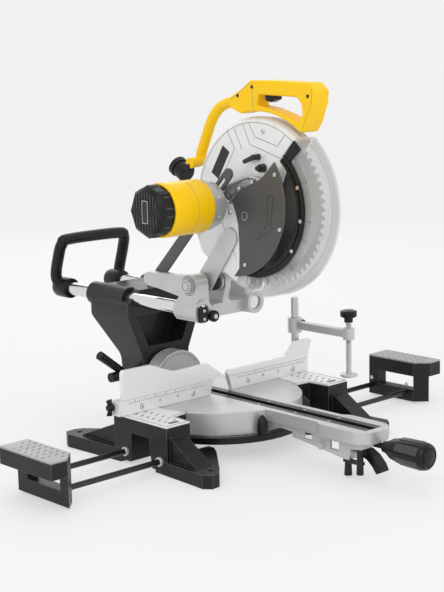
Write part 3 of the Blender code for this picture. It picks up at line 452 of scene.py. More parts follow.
class Blank:
    """A mesh being shaped: each method adds one closed solid to it."""

    def __init__(self) -> None:
        """Start with an empty mesh."""
        self.work = bmesh.new()

    def block(self, low: Point3, high: Point3) -> "Blank":
        """A block between two corners."""
        middle = (Vector(low) + Vector(high)) / 2
        size = Vector(high) - Vector(low)
        matrix = Matrix.Translation(middle) @ Matrix.Diagonal((*size, 1))
        bmesh.ops.create_cube(self.work, size=1.0, matrix=matrix)
        return self

    def rod(
        self, start: Point3, end: Point3, radius: float, end_radius: float | None = None, sides: int = 32
    ) -> "Blank":
        """A cylinder or cone between two points.

        Args:
            start: The middle of its first end.
            end: The middle of its second end.
            radius: The radius at the first end.
            end_radius: The radius at the second end, if it differs.
            sides: Facets round it.

        Returns:
            This blank.
        """
        start, end = Vector(start), Vector(end)
        bmesh.ops.create_cone(
            self.work,
            cap_ends=True,
            segments=sides,
            radius1=radius,
            radius2=radius if end_radius is None else end_radius,
            depth=(end - start).length,
            matrix=Matrix.Translation((start + end) / 2) @ facing(end - start),
        )
        return self

    def rings(self, rings: list[list[Vector]], closed: bool) -> "Blank":
        """A skin over rings of equal count.

        Args:
            rings: The rings in order, each a list of its points.
            closed: Whether the last ring meets the first; if not, both ends are capped.

        Returns:
            This blank.
        """
        made = [[self.work.verts.new(p) for p in ring] for ring in rings]
        pairs = list(zip(made, made[1:])) + ([(made[-1], made[0])] if closed else [])
        for a, b in pairs:
            count = len(a)
            for i in range(count):
                j = (i + 1) % count
                self.work.faces.new((a[i], a[j], b[j], b[i]))
        if not closed:
            self.work.faces.new(list(reversed(made[0])))
            self.work.faces.new(made[-1])
        return self

    def lathe(
        self,
        profile: list[Point2],
        centre: Point3,
        axis: Point3,
        steps: int = 64,
        sweep: tuple[float, float] | None = None,
    ) -> "Blank":
        """A profile of (radius, height) pairs turned about an axis.

        Args:
            profile: A closed loop, if both ends are off the axis, or a line from axis to axis.
            centre: A point on the axis.
            axis: The axis's direction.
            steps: Facets of a whole turn.
            sweep: Start and end angles in degrees, for a part turn.
        """
        turn = Matrix.Translation(centre) @ facing(axis)
        start, end = sweep or (0.0, 360.0)
        count = steps if sweep is None else max(2, round(steps * abs(end - start) / 360)) + 1
        whole = count if sweep is None else count - 1
        radii = [(max(r, 1e-5), h) for r, h in profile]
        columns = []
        for i in range(count):
            a = math.radians(start + (end - start) * i / whole)
            columns.append([turn @ Vector((r * math.cos(a), r * math.sin(a), h)) for r, h in radii])
        return self.rings(columns, closed=sweep is None)

    def slab(self, outline: list[Point2], low: float, high: float, plane: Plane = Plane.YZ) -> "Blank":
        """A flat outline, as thick as from low to high across its plane."""
        return self.rings([[plane.place(u, v, d) for u, v in outline] for d in (low, high)], False)

    def pierced(self, outline: list[Point2], hole: list[Point2], low: float, high: float) -> "Blank":
        """A slab across X with one hole through it.

        Args:
            outline: Its outer edge, in Y and Z.
            hole: The hole's edge, in Y and Z.
            low: The X of its left face.
            high: The X of its right face.

        Returns:
            This blank.
        """
        loops = []
        for depth in (low, high):
            loops.append([[self.work.verts.new((depth, u, v)) for u, v in line] for line in (outline, hole)])
        for near, far in zip(*loops):
            for i in range(len(near)):
                j = (i + 1) % len(near)
                self.work.faces.new((near[i], near[j], far[j], far[i]))
        for level in loops:
            edges = []
            for line in level:
                edges += [self.work.edges.get((line[i - 1], line[i])) for i in range(len(line))]
            bmesh.ops.triangle_fill(self.work, use_beauty=True, use_dissolve=False, edges=edges)
        return self

    def sweep(self, path: list[Point3], radius: float, sides: int = 16, flat: float = 1.0) -> "Blank":
        """A round or oval bar along a path.

        Args:
            path: The points of its centre line.
            radius: Its radius.
            sides: Facets round it.
            flat: How far it is squeezed across the path's first normal; 1 is round.

        Returns:
            This blank.
        """
        points = [Vector(p) for p in path]
        heading = (points[1] - points[0]).normalized()
        across = heading.orthogonal().normalized()
        rings = []
        for i, point in enumerate(points):
            ahead = (points[min(i + 1, len(points) - 1)] - points[max(i - 1, 0)]).normalized()
            across = heading.rotation_difference(ahead) @ across
            heading = ahead
            other = heading.cross(across)
            rings.append(
                [
                    point + across * radius * math.cos(2 * math.pi * k / sides)
                    + other * radius * flat * math.sin(2 * math.pi * k / sides)
                    for k in range(sides)
                ]
            )
        return self.rings(rings, False)

    def ribbon(
        self, path: list[Point2], width: float, low: float, high: float, plane: Plane = Plane.YZ
    ) -> "Blank":
        """A thin band along a line drawn in a plane.

        Args:
            path: The line's points.
            width: The band's width.
            low: Where it starts across the plane.
            high: Where it ends across the plane.
            plane: The plane.

        Returns:
            This blank.
        """
        points = [Vector(p) for p in path]
        left, right = [], []
        for i, point in enumerate(points):
            before = (point - points[i - 1]).normalized() if i else None
            after = (points[i + 1] - point).normalized() if i + 1 < len(points) else None
            run = ((before or after) + (after or before)).normalized()
            side = Vector((-run.y, run.x))
            share = max(0.5, abs(side.dot(Vector((-(after or before).y, (after or before).x)))))
            left.append(point + side * width / 2 / share)
            right.append(point - side * width / 2 / share)
        return self.slab([tuple(p) for p in left + right[::-1]], low, high, plane)

    def screw_head(self, centre: Point3, axis: Point3, radius: float, height: float) -> "Blank":
        """A pan head with a round socket.

        Args:
            centre: The middle of its seat.
            axis: The way it faces.
            radius: The head's radius.
            height: The head's height.

        Returns:
            This blank.
        """
        inner = radius * 0.5
        profile = [
            (0.0, height * 0.4), (inner, height * 0.4), (inner, height), (radius * 0.8, height),
            (radius, height * 0.6), (radius, 0.0), (0.0, 0.0),
        ]
        return self.lathe(profile, centre, axis, 24)

    def made(
        self,
        name: str,
        body: str,
        finish: Finish,
        slot: Slot,
        bevel: float = 0.0,
        subdivide: int = 0,
        replaces: Iterable[str] = (),
    ) -> bpy.types.Object:
        """Turn the blank into a piece that rides on a body.

        Args:
            name: The piece's name.
            body: The CAD body it rides on.
            finish: What it looks like.
            slot: Not used.
            bevel: The width of its rounded edges.
            subdivide: Levels of subdivision, for a soft form.
            replaces: The CAD nodes it stands for.

        Returns:
            The new object.
        """
        bmesh.ops.remove_doubles(self.work, verts=self.work.verts, dist=2.2e-5)
        loose = [edge for edge in self.work.edges if not edge.link_faces]
        bmesh.ops.delete(self.work, geom=loose, context="EDGES")
        bmesh.ops.recalc_face_normals(self.work, faces=self.work.faces)
        mesh = bpy.data.meshes.new(name)
        self.work.to_mesh(mesh)
        self.work.free()
        mesh.materials.append(finish.look())
        mesh.shade_smooth()
        mesh.set_sharp_from_angle(angle=math.radians(38))
        piece = bpy.data.objects.new(name, mesh)
        bpy.context.scene.collection.objects.link(piece)
        if bevel > 0:
            round_edges(piece, bevel)
        if subdivide:
            soft = piece.modifiers.new("soft", "SUBSURF")
            soft.levels = soft.render_levels = subdivide
        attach(piece, body)
        if replaces:
            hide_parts(*replaces)
        LOG.info("%s rides on %s", name, body)
        return piece


def round_edges(piece: bpy.types.Object, width: float) -> None:
    """Round a piece's sharp edges."""
    bevel = piece.modifiers.new("rounded", "BEVEL")
    bevel.width = width
    bevel.segments = 2
    bevel.limit_method = "ANGLE"
    bevel.angle_limit = math.radians(32)
    bevel.harden_normals = True


# Frame nodes --------------------------------------------------------------------------------
@dataclass
class FrameDresser:
    """Gives each CAD node its finish and rounds its edges."""

    frame: dict[str, Any]
    width: float = 0.0009
    flat_angle: float = math.radians(1.0)

    SPECIAL = {
        "column": Finish.COLUMN,
        "cover_plate": Finish.COVER,
        "armature": Finish.STEEL,
        "stand_legs": Finish.BLACK_CASTING,
        "link_arm": Finish.LINK,
        "turntable": Finish.TABLE,
        "left_support_pad": Finish.PAD,
        "right_support_pad": Finish.PAD,
        "upper_guard": Finish.GUARD,
        "left_front_rod": Finish.ROD,
        "left_rear_rod": Finish.ROD,
        "right_front_rod": Finish.ROD,
        "right_rear_rod": Finish.ROD,
    }
    SOFT = {"rear_handle": 0.003, "base_frame": 0.0016, "turntable": 0.0011, "column": 0.0018}
    THIN = {"gear_case", "arbor_shaft", "armature", "return_spring", "lower_guard", "motor_end_cap"}

    def dress(self) -> None:
        """Dress every node."""
        slots = {row["node"]: Slot(row["material_slot"]) for row in self.frame["record"]["subparts"]}
        for name, node in self.frame["nodes"].items():
            finish = self.SPECIAL.get(name, SLOT_FINISH[slots[name]])
            node.data.materials.clear()
            node.data.materials.append(finish.look())
            self.smooth(node, self.SOFT.get(name, self.width), name not in self.THIN)
            LOG.info("%s takes %s", name, finish.name)

    def smooth(self, node: bpy.types.Object, width: float, rounded: bool) -> None:
        """Weld the node's facets, merge its flat faces and round its edges, all by modifiers.

        Args:
            node: The CAD node.
            width: The width of its rounded edges.
            rounded: Whether its edges are rounded.
        """
        if node.data.has_custom_normals:
            node.data.attributes.remove(node.data.attributes["custom_normal"])
        node.data.shade_smooth()
        weld = node.modifiers.new("weld", "WELD")
        weld.merge_threshold = 1e-5
        flat = node.modifiers.new("flat", "DECIMATE")
        flat.decimate_type = "DISSOLVE"
        flat.angle_limit = self.flat_angle
        if rounded:
            round_edges(node, width)
        even = node.modifiers.new("even", "WEIGHTED_NORMAL")
        even.keep_sharp = False
        even.weight = 80


# Studio -------------------------------------------------------------------------------------
@dataclass
class Studio:
    """The floor, the light and the camera."""

    eye: Point3 = (-1.778, -1.907, 0.746)
    aim: Point3 = (0.0, 0.0, 0.286)
    roll: float = math.radians(-1.2)
    lens: float = 82.1
    sensor: float = 36.0
    shift: float = 0.0042
    floor_size: float = 60.0
    floor_tone: float = 0.34
    floor_glow: float = 0.53
    sky_tone: float = 0.888

    def build(self) -> None:
        """Build the studio."""
        self.build_camera()
        self.build_floor()
        self.build_light()

    def build_camera(self) -> None:
        """Place the camera, turned about its own axis by the roll."""
        data = bpy.data.cameras.new("camera")
        data.lens = self.lens
        data.sensor_width = self.sensor
        data.sensor_fit = "AUTO"
        data.shift_x = self.shift
        data.clip_end = 200.0
        camera = bpy.data.objects.new("camera", data)
        bpy.context.scene.collection.objects.link(camera)
        look = (Vector(self.aim) - Vector(self.eye)).to_track_quat("-Z", "Y").to_matrix().to_4x4()
        camera.matrix_world = Matrix.Translation(self.eye) @ look @ Matrix.Rotation(self.roll, 4, "Z")
        bpy.context.scene.camera = camera

    def build_floor(self) -> None:
        """A wide pale floor just under the feet."""
        mesh = bpy.data.meshes.new("floor")
        work = bmesh.new()
        bmesh.ops.create_grid(work, x_segments=1, y_segments=1, size=self.floor_size)
        work.to_mesh(mesh)
        work.free()
        graph = Graph("pale_floor")
        tone = graph.mix(graph.noise(3.0), rgba(grey(self.floor_tone)), rgba(grey(self.floor_tone * 0.985)))
        glow = rgba(grey(self.floor_glow))
        floor_look = graph.shade(Base_Color=tone, Roughness=0.85, Emission_Color=glow, Emission_Strength=1.0)
        mesh.materials.append(floor_look)
        floor = bpy.data.objects.new("floor", mesh)
        floor.location.z = -0.0004
        bpy.context.scene.collection.objects.link(floor)

    def build_light(self) -> None:
        """An even pale sky, a broad key from the upper left, a top and a low fill."""
        world = bpy.data.worlds.new("studio")
        world.use_nodes = True
        sky = world.node_tree.nodes["Background"]
        sky.inputs["Color"].default_value = rgba(grey(self.sky_tone))
        sky.inputs["Strength"].default_value = 1.0
        bpy.context.scene.world = world
        bpy.context.scene.view_settings.view_transform = "Standard"
        for name, place, size, power in (
            ("key", (-2.2, -1.6, 2.4), 1.6, 20.0),
            ("top", (0.4, 0.3, 2.8), 2.2, 6.0),
            ("front", (0.8, -3.0, 1.0), 1.4, 6.0),
            ("back", (1.6, 2.4, 1.8), 1.6, 9.0),
        ):
            data = bpy.data.lights.new(name, "AREA")
            data.size = size
            data.energy = power
            lamp = bpy.data.objects.new(name, data)
            lamp.location = place
            aim = Vector(self.aim) - Vector(place)
            lamp.rotation_mode = "QUATERNION"
            lamp.rotation_quaternion = aim.to_track_quat("-Z", "Y")
            bpy.context.scene.collection.objects.link(lamp)


# Sub-assemblies -----------------------------------------------------------------------------
def polar(centre: Point2, radius: float, angle: float) -> Point2:
    """The point at a radius, its angle in degrees from the front towards the top."""
    a = math.radians(angle)
    return (centre[0] - radius * math.cos(a), centre[1] + radius * math.sin(a))


def front_arc(centre: Point2, radius: float, start: float, end: float, steps: int) -> list[Point2]:
    """Points on an arc whose angles run from the front towards the top."""
    return [polar(centre, radius, start + (end - start) * i / steps) for i in range(steps + 1)]


def smooth_line(points: list[Point3], steps: int) -> list[Vector]:
    """A smooth line through the points.

    Args:
        points: The points that it passes through.
        steps: Steps between each two points.

    Returns:
        The line's points, the given ones among them.
    """
    given = [Vector(p) for p in points]
    ends = [given[0] * 2 - given[1]] + given + [given[-1] * 2 - given[-2]]
    line = []
    for a, b, c, d in zip(ends, ends[1:], ends[2:], ends[3:]):
        for i in range(steps):
            t = i / steps
            square, cube = 2 * a - 5 * b + 4 * c - d, 3 * b - a - 3 * c + d
            line.append(0.5 * (2 * b + (c - a) * t + square * t * t + cube * t**3))
    return line + [given[-1]]


def lathe_angle(angle: float) -> float:
    """The lathe's angle about +X for an angle from the front towards the top."""
    return -angle - 90.0


@dataclass
class Axes:
    """The frame's joint axes that the pieces are built round."""

    frame: dict[str, Any]

    def place(self, joint: str) -> Vector:
        """A point on a joint's axis."""
        return Vector(next(j["pos_m"] for j in self.frame["joints"] if j["name"] == joint))

    def side(self, joint: str) -> Point2:
        """The axis's place in the YZ plane."""
        place = self.place(joint)
        return (place.y, place.z)


@dataclass
class UpperGuard:
    """The enamelled guard over the blade, with its seams, label, bolts and dust port."""

    arbor: Point2
    radius: float = 0.165
    flat: float = 0.157
    wall: float = 0.0025
    face: float = -0.0225
    back: float = 0.0200
    start: float = 50.0
    end: float = 260.0
    proud: float = 0.0005

    def build(self) -> None:
        """Build every piece of the guard."""
        self.build_shell()
        self.build_seams()
        self.build_label()
        self.build_bolts()
        self.build_dust_port()

    def build_shell(self) -> None:
        """The shell: a rounded channel swept over the blade, closed below the arbor on the left."""
        r, w, x, b = self.radius, self.wall, self.face, self.back
        profile = [
            (0.0135, x), (self.flat, x), (self.flat + 0.004, x + 0.0016), (r - 0.0012, x + 0.0062),
            (r, x + 0.0110), (r, b - 0.0080), (r - 0.0025, b - 0.0030), (self.flat, b), (0.040, b),
            (0.040, b - w), (self.flat - 0.001, b - w), (r - w - 0.001, b - 0.0080),
            (r - w, x + 0.0115), (self.flat, x + w), (0.0135, x + w),
        ]
        shell = Blank().lathe(
            profile, (0, *self.arbor), (1, 0, 0), 144, (lathe_angle(self.start), lathe_angle(self.end))
        )
        foot = [self.arbor, polar(self.arbor, 0.160, self.start), polar(self.arbor, 0.160, self.end)]
        shell.slab(foot, x + 0.0001, x + w)
        shell.made("upper_guard_shell", "head", Finish.GUARD, Slot.MACHINED, 0.0006, replaces=["upper_guard"])
        band = [(r, -0.0100), (r + 0.0014, -0.0095), (r + 0.0014, 0.0095), (r, 0.0100)]
        sweep = (lathe_angle(self.start + 3), lathe_angle(self.end - 40))
        Blank().lathe(band, (0, *self.arbor), (1, 0, 0), 144, sweep).made(
            "guard_top_band", "head", Finish.SILVER_CASTING, Slot.SILVER_CASTING, 0.0004
        )

    def build_seams(self) -> None:
        """The pressed lines of the guard's left face, drawn as dark ribbons: painted shade in the creases."""
        seams = (
            [(-0.054, 0.612), (-0.074, 0.578), (-0.029, 0.507)],
            [(-0.074, 0.616), (-0.094, 0.577)],
            [(-0.097, 0.625), (-0.115, 0.587), (-0.195, 0.564), (-0.222, 0.592)],
            [(-0.113, 0.626), (-0.129, 0.601), (-0.186, 0.586), (-0.205, 0.606)],
        )
        lines = Blank()
        for seam in seams:
            lines.ribbon(seam, 0.0011, self.face - self.proud * 0.5, self.face + self.proud)
        rim = [(self.flat - 0.0016, -0.0002), (self.flat - 0.0006, -0.0002), (self.flat - 0.0006, 0.0003)]
        rim.append((self.flat - 0.0016, 0.0003))
        loop = [(r, self.face + h) for r, h in rim]
        sweep = (lathe_angle(self.start + 2), lathe_angle(self.end - 60))
        lines.lathe(loop, (0, *self.arbor), (1, 0, 0), 144, sweep)
        lines.made("guard_seams", "head", Finish.SEAM, Slot.GREY_CASTING)

    def build_label(self) -> None:
        """The blank label plate."""
        outline = [(-0.042, 0.583), (-0.060, 0.571), (-0.028, 0.519), (-0.009, 0.531)]
        plate = Blank().slab(outline, self.face - self.proud, self.face + self.proud)
        plate.made("guard_label", "head", Finish.LABEL, Slot.BLACK_PLASTIC, 0.0002)

    def build_bolts(self) -> None:
        """The guard's screws, and the stud with its knob above the cover."""
        heads = Blank()
        for place in ((-0.080, 0.461), (-0.053, 0.355), (-0.062, 0.500)):
            heads.screw_head((-0.0428, *place), (-1, 0, 0), 0.0050, 0.0030)
        for place in ((-0.223, 0.560), (-0.150, 0.612)):
            heads.screw_head((self.face, *place), (-1, 0, 0), 0.0042, 0.0026)
        heads.made("guard_screws", "head", Finish.STEEL, Slot.STEEL)
        stud = Blank()
        stud.rod((self.face, -0.138, 0.565), (-0.040, -0.138, 0.565), 0.0060, 0.0050)
        stud.rod((self.face, -0.150, 0.545), (-0.034, -0.150, 0.545), 0.0085, 0.0075)
        stud.rod((-0.034, -0.150, 0.545), (-0.041, -0.150, 0.545), 0.0045)
        stud.slab(belt((-0.138, 0.565), 0.005, (-0.112, 0.556), 0.004), -0.036, -0.032)
        stud.made("guard_stud", "head", Finish.SPRING, Slot.BLACK_PLASTIC, 0.0006)

    def build_dust_port(self) -> None:
        """The black elbow that takes the dust off behind the guard."""
        path = [(-0.020, 0.0630, 0.5220), (-0.020, 0.0700, 0.5260), (-0.020, 0.0850, 0.5350)]
        port = Blank().sweep(path, 0.0175, 32)
        port.rod((-0.020, 0.0840, 0.5344), (-0.020, 0.0940, 0.5404), 0.0200, 0.0200)
        port.block((-0.032, 0.0460, 0.5300), (-0.016, 0.0660, 0.5440))
        port.made("dust_port", "head", Finish.BLACK_PLASTIC, Slot.BLACK_PLASTIC, 0.0012)


@dataclass
class CoverPlate:
    """The dark cover beside the arbor with its arrow and screws, and the white web to the hinge."""

    centre: Point2 = (-0.081, 0.479)
    radius: float = 0.140
    low: float = -0.0415
    high: float = -0.0388
    web_low: float = -0.0402
    web_high: float = -0.0387

    def build(self) -> None:
        """Build the cover and what is on it."""
        outline = front_arc(self.centre, self.radius, 35, -88, 60) + [
            (-0.100, 0.356), (-0.102, 0.400), (-0.098, 0.446), (-0.083, 0.484), (-0.109, 0.506),
            (-0.161, 0.527),
        ]
        Blank().slab(outline, self.low, self.high).made(
            "gear_cover", "head", Finish.COVER, Slot.GREY_CASTING, 0.0007, replaces=["cover_plate"]
        )
        self.build_arrow()
        screws = Blank()
        for place in ((-0.197, 0.536), (-0.138, 0.520), (-0.103, 0.506), (-0.208, 0.437), (-0.116, 0.364)):
            screws.screw_head((self.low, *place), (-1, 0, 0), 0.0040, 0.0022)
        washer = [(0.0088, 0.0), (0.0088, 0.0016), (0.0060, 0.0016), (0.0060, 0.0)]
        screws.lathe(washer, (self.low, -0.118, 0.456), (-1, 0, 0), 32)
        screws.made("cover_screws", "head", Finish.STEEL, Slot.STEEL)
        web = [
            (-0.086, 0.476), (-0.025, 0.474), (0.018, 0.415), (0.004, 0.380), (-0.030, 0.356),
            (-0.090, 0.330),
            (-0.105, 0.352), (-0.100, 0.387), (-0.099, 0.434),
        ]
        Blank().slab(web, self.web_low, self.web_high).made(
            "guard_web", "head", Finish.GUARD, Slot.MACHINED, 0.0006
        )
        # The fold line is a dark ribbon: painted shade along the crease.
        fold = [(-0.049, 0.448), (-0.093, 0.372)]
        Blank().ribbon(fold, 0.0010, self.web_low - 0.0002, self.web_low + 0.0002).made(
            "web_fold", "head", Finish.SEAM, Slot.GREY_CASTING
        )

    def build_arrow(self) -> None:
        """The raised outline of the arrow that shows which way the blade turns."""
        arrow = [
            (-0.178, 0.496), (-0.193, 0.497), (-0.184, 0.442), (-0.191, 0.437), (-0.148, 0.413),
            (-0.176, 0.443),
            (-0.178, 0.496),
        ]
        Blank().ribbon(arrow, 0.0009, self.low - 0.0003, self.low + 0.0003).made(
            "cover_arrow", "head", Finish.INK, Slot.BLACK_PLASTIC
        )


@dataclass
class LowerGuard:
    """The clear lower guard: ribbed walls, a heavier rim and a row of moulded steps."""

    arbor: Point2
    rim: float = 0.170
    inner: float = 0.117
    wall: float = 0.0020
    left: float = -0.0290
    right: float = 0.0245
    start: float = -100.0
    end: float = 50.0
    split: float = 0.1475
    turned: float = 0.1690
    flat: float = 0.1640
    ring_right: float = -0.0293
    ring_left: float = -0.0345
    steps: int = 160

    @property
    def sweep(self) -> tuple[float, float]:
        """The lathe's sweep over the guard's whole opening."""
        return (lathe_angle(self.start), lathe_angle(self.end))

    def build(self) -> None:
        """Build the guard's pieces."""
        centre, axis = (0, *self.arbor), (1, 0, 0)
        walls = Blank()
        for low, high in ((self.left, self.left + self.wall), (self.right - self.wall, self.right)):
            profile = [(self.inner, low), (self.split, low), (self.split, high), (self.inner, high)]
            walls.lathe(profile, centre, axis, self.steps, self.sweep)
        walls.made("lower_guard_walls", "lower_guard", Finish.CLEAR, Slot.CLEAR, replaces=["lower_guard"])
        left, right, wall = self.left, self.right, self.wall
        root, inside = self.split + 0.0001, self.rim - 0.0024
        rim = [
            (root, left), (self.flat, left), (self.turned, left + 0.0025), (self.rim, left + 0.0070),
            (self.rim, right - 0.0060), (self.turned, right - 0.0020), (self.flat, right), (root, right),
            (root, right - wall), (self.flat, right - wall), (inside, right - 0.0060),
            (inside, left + 0.0070), (self.flat, left + wall), (root, left + wall),
        ]
        Blank().lathe(rim, centre, axis, self.steps, self.sweep).made(
            "lower_guard_rim", "lower_guard", Finish.CLEAR_RIM, Slot.CLEAR
        )
        ribs = Blank()
        for angle in (48.5, 22.0, -7.0, -22.0, -48.0, -62.0, -76.0, -90.0, -98.5):
            path = [polar(self.arbor, 0.1200, angle), polar(self.arbor, 0.1470, angle)]
            ribs.ribbon(path, 0.0016, self.left - 0.0001, self.left + 0.0005)
        for i in range(6):
            first = self.start + 2 + 9 * i
            tooth = [
                polar(self.arbor, 0.124, first), polar(self.arbor, 0.143, first + 4.5),
                polar(self.arbor, 0.124, first + 9),
            ]
            ribs.ribbon(tooth, 0.0018, self.left - 0.0001, self.left + 0.0005)
        ribs.made("lower_guard_ribs", "lower_guard", Finish.CLEAR_RIB, Slot.CLEAR)
        seat, face = self.ring_right, self.ring_left
        groove = face + 0.0020
        ring = [
            (0.131, seat), (0.131, face + 0.0005), (0.1300, face), (0.1275, face), (0.1270, groove),
            (0.1215, groove), (0.1210, face), (0.115, face), (0.115, seat),
        ]
        Blank().lathe(ring, centre, axis, 128, self.sweep).made(
            "lower_guard_ring", "lower_guard", Finish.BLACK_PLASTIC, Slot.BLACK_PLASTIC,
            replaces=["guard_ring"],
        )
        bracket = front_arc(self.arbor, 0.166, 42, 49.5, 4) + front_arc(self.arbor, 0.1315, 49.5, 42, 4)
        Blank().slab(bracket, face, seat).made(
            "guard_bracket", "lower_guard", Finish.BLACK_PLASTIC, Slot.BLACK_PLASTIC, 0.0012
        )
        rollers = Blank()
        for angle in (20.0, -8.0, -36.0):
            place = polar(self.arbor, 0.1243, angle)
            rollers.rod((groove, *place), (face - 0.0005, *place), 0.0036)
        rollers.made("guard_ring_screws", "lower_guard", Finish.STEEL, Slot.STEEL, 0.0004)


@dataclass
class SawBlade:
    """The saw blade with its teeth and their tips."""

    arbor: Point2
    radius: float = 0.1525
    teeth: int = 60
    half: float = 0.0011
    gullet: float = 0.0085
    tip_root: float = 0.0062
    tip_proud: float = 0.0004

    def at(self, depth: float, angle: float) -> Point2:
        """A point as deep inside the blade's circle."""
        return polar(self.arbor, self.radius - depth, angle)

    def build(self) -> None:
        """Build the plate and the teeth's tips."""
        outline: list[Point2] = []
        pitch = 360.0 / self.teeth
        for i in range(self.teeth):
            first = i * pitch
            outline += [self.at(0.0, first), self.at(0.0014, first + 2.2)]
            outline += front_arc(self.arbor, self.radius - self.gullet, first + 3.2, first + 4.6, 2)
            outline += [self.at(0.0060, first + 5.4)]
        Blank().slab(outline, -self.half, self.half).made(
            "toothed_blade", "blade", Finish.BLADE, Slot.BLADE, replaces=["saw_blade"]
        )
        tips = Blank()
        for i in range(self.teeth):
            first = i * pitch
            tip = [
                self.at(0.0, first), self.at(0.0009, first + 0.9),
                self.at(self.tip_root, first + 0.55), self.at(self.tip_root, first - 0.35),
            ]
            tips.slab(tip, -self.half - self.tip_proud, self.half + self.tip_proud)
        tips.made("blade_tips", "blade", Finish.STEEL, Slot.STEEL)


@dataclass
class Motor:
    """The motor: a yellow shell on a silver gear head, and its black vented cap."""

    axis: Point2
    radius: float = 0.050
    shell_right: float = -0.1105
    shell_left: float = -0.205
    cap_face: float = -0.2355
    slat_gap: float = 0.0075
    slat_reach: float = 0.036

    def at(self, x: float, radius: float, angle: float) -> Vector:
        """A point round the motor's axis, its angle in degrees."""
        a = math.radians(angle)
        return Vector((x, self.axis[0] + radius * math.cos(a), self.axis[1] + radius * math.sin(a)))

    def build(self) -> None:
        """Build the motor's pieces."""
        centre, axis, r = (0, *self.axis), (1, 0, 0), self.radius
        profile = [
            (0.0472, self.shell_right), (r - 0.0008, self.shell_right), (r, self.shell_right - 0.0015),
            (r, -0.1995), (r - 0.0012, -0.2003), (r - 0.0012, self.shell_left), (0.0460, self.shell_left),
            (0.0460, -0.1200),
        ]
        Blank().lathe(profile, centre, axis, 96).made("motor_shell", "head", Finish.YELLOW, Slot.YELLOW)
        # The seam ring is dark grey: painted shade in the groove round the shell.
        seam = [(r + 0.0001, -0.1500), (r - 0.001, -0.1500), (r - 0.001, -0.1509), (r + 0.0001, -0.1509)]
        Blank().lathe(seam, centre, axis, 96).made("motor_seam", "head", Finish.SEAM, Slot.YELLOW)
        head = [
            (0.0085, -0.0418), (0.0122, -0.0418), (0.0122, -0.0600), (0.0230, -0.0606), (0.0425, -0.0765),
            (0.0470, -0.0960), (0.0470, -0.1118), (0.0458, -0.1118), (0.0458, -0.0990), (0.0412, -0.0900),
            (0.0405, -0.0785), (0.0155, -0.0745), (0.0155, -0.0645), (0.0085, -0.0645),
        ]
        gear_head = Blank().lathe(head, centre, axis, 96)
        for i in range(8):
            a = 22.5 + 45 * i
            gear_head.rod(self.at(-0.0965, 0.0468, a), self.at(-0.0640, 0.0265, a), 0.0024, 0.0016, 12)
        gear_head.made(
            "motor_gear_head", "head", Finish.SILVER_CASTING, Slot.SILVER_CASTING, 0.0006,
            replaces=["motor_housing"],
        )
        self.build_cap()
        cord_gland = [
            (0.0, 0.016), (0.0045, 0.016), (0.0055, 0.010), (0.0075, 0.009), (0.0085, 0.0), (0.0, 0.0),
        ]
        Blank().lathe(cord_gland, (-0.185, self.axis[0] + 0.049, self.axis[1] - 0.004), (0, 1, 0), 32).made(
            "cord_gland", "head", Finish.BLACK_PLASTIC, Slot.BLACK_PLASTIC
        )

    def build_cap(self) -> None:
        """The octagonal cap, with raised slats and a blank label plate on its face."""
        centre, axis = (0, *self.axis), (1, 0, 0)
        profile = [
            (0.0450, -0.2055), (0.0485, -0.2055), (0.0485, -0.2290), (0.0410, -0.2355), (0.0, -0.2355),
            (0.0, -0.2330), (0.0400, -0.2330), (0.0450, -0.2270),
        ]
        cap = Blank().lathe(profile, centre, axis, 8)
        cap.made(
            "vented_cap", "head", Finish.BLACK_PLASTIC, Slot.BLACK_PLASTIC, 0.0014, replaces=["motor_end_cap"]
        )
        slats = Blank()
        y, z = self.axis
        face, back = self.cap_face - 0.0013, self.cap_face + 0.0005
        for i in range(-4, 5):
            across = y + i * self.slat_gap
            near, far = 0.023, self.slat_reach
            if abs(i) > 1:
                near, far = 0.006, math.sqrt(self.slat_reach**2 - (i * self.slat_gap) ** 2)
            for sign in (-1, 1):
                slats.ribbon([(across, z + sign * near), (across, z + sign * far)], 0.0026, face, back)
        for i in range(8):
            for step in (-9, 0, 9):
                a = 45 * i + step
                slats.rod(self.at(-0.2110, 0.0460, a), self.at(-0.2250, 0.0460, a), 0.0020, None, 10)
        slats.made("cap_slats", "head", Finish.GREY_PLASTIC, Slot.GREY_PLASTIC, 0.0004)
        corners = ((-1, -1), (1, -1), (1, 1), (-1, 1))
        label = [(y + u * self.slat_gap, z + v * 0.020) for u, v in corners]
        Blank().slab(label, self.cap_face - 0.0014, back).made(
            "cap_label", "head", Finish.LABEL, Slot.BLACK_PLASTIC, 0.0006
        )
        Blank().ribbon(label + label[:1], 0.0010, self.cap_face - 0.0015, self.cap_face - 0.0005).made(
            "cap_label_frame", "head", Finish.SILVER_CASTING, Slot.SILVER_CASTING
        )


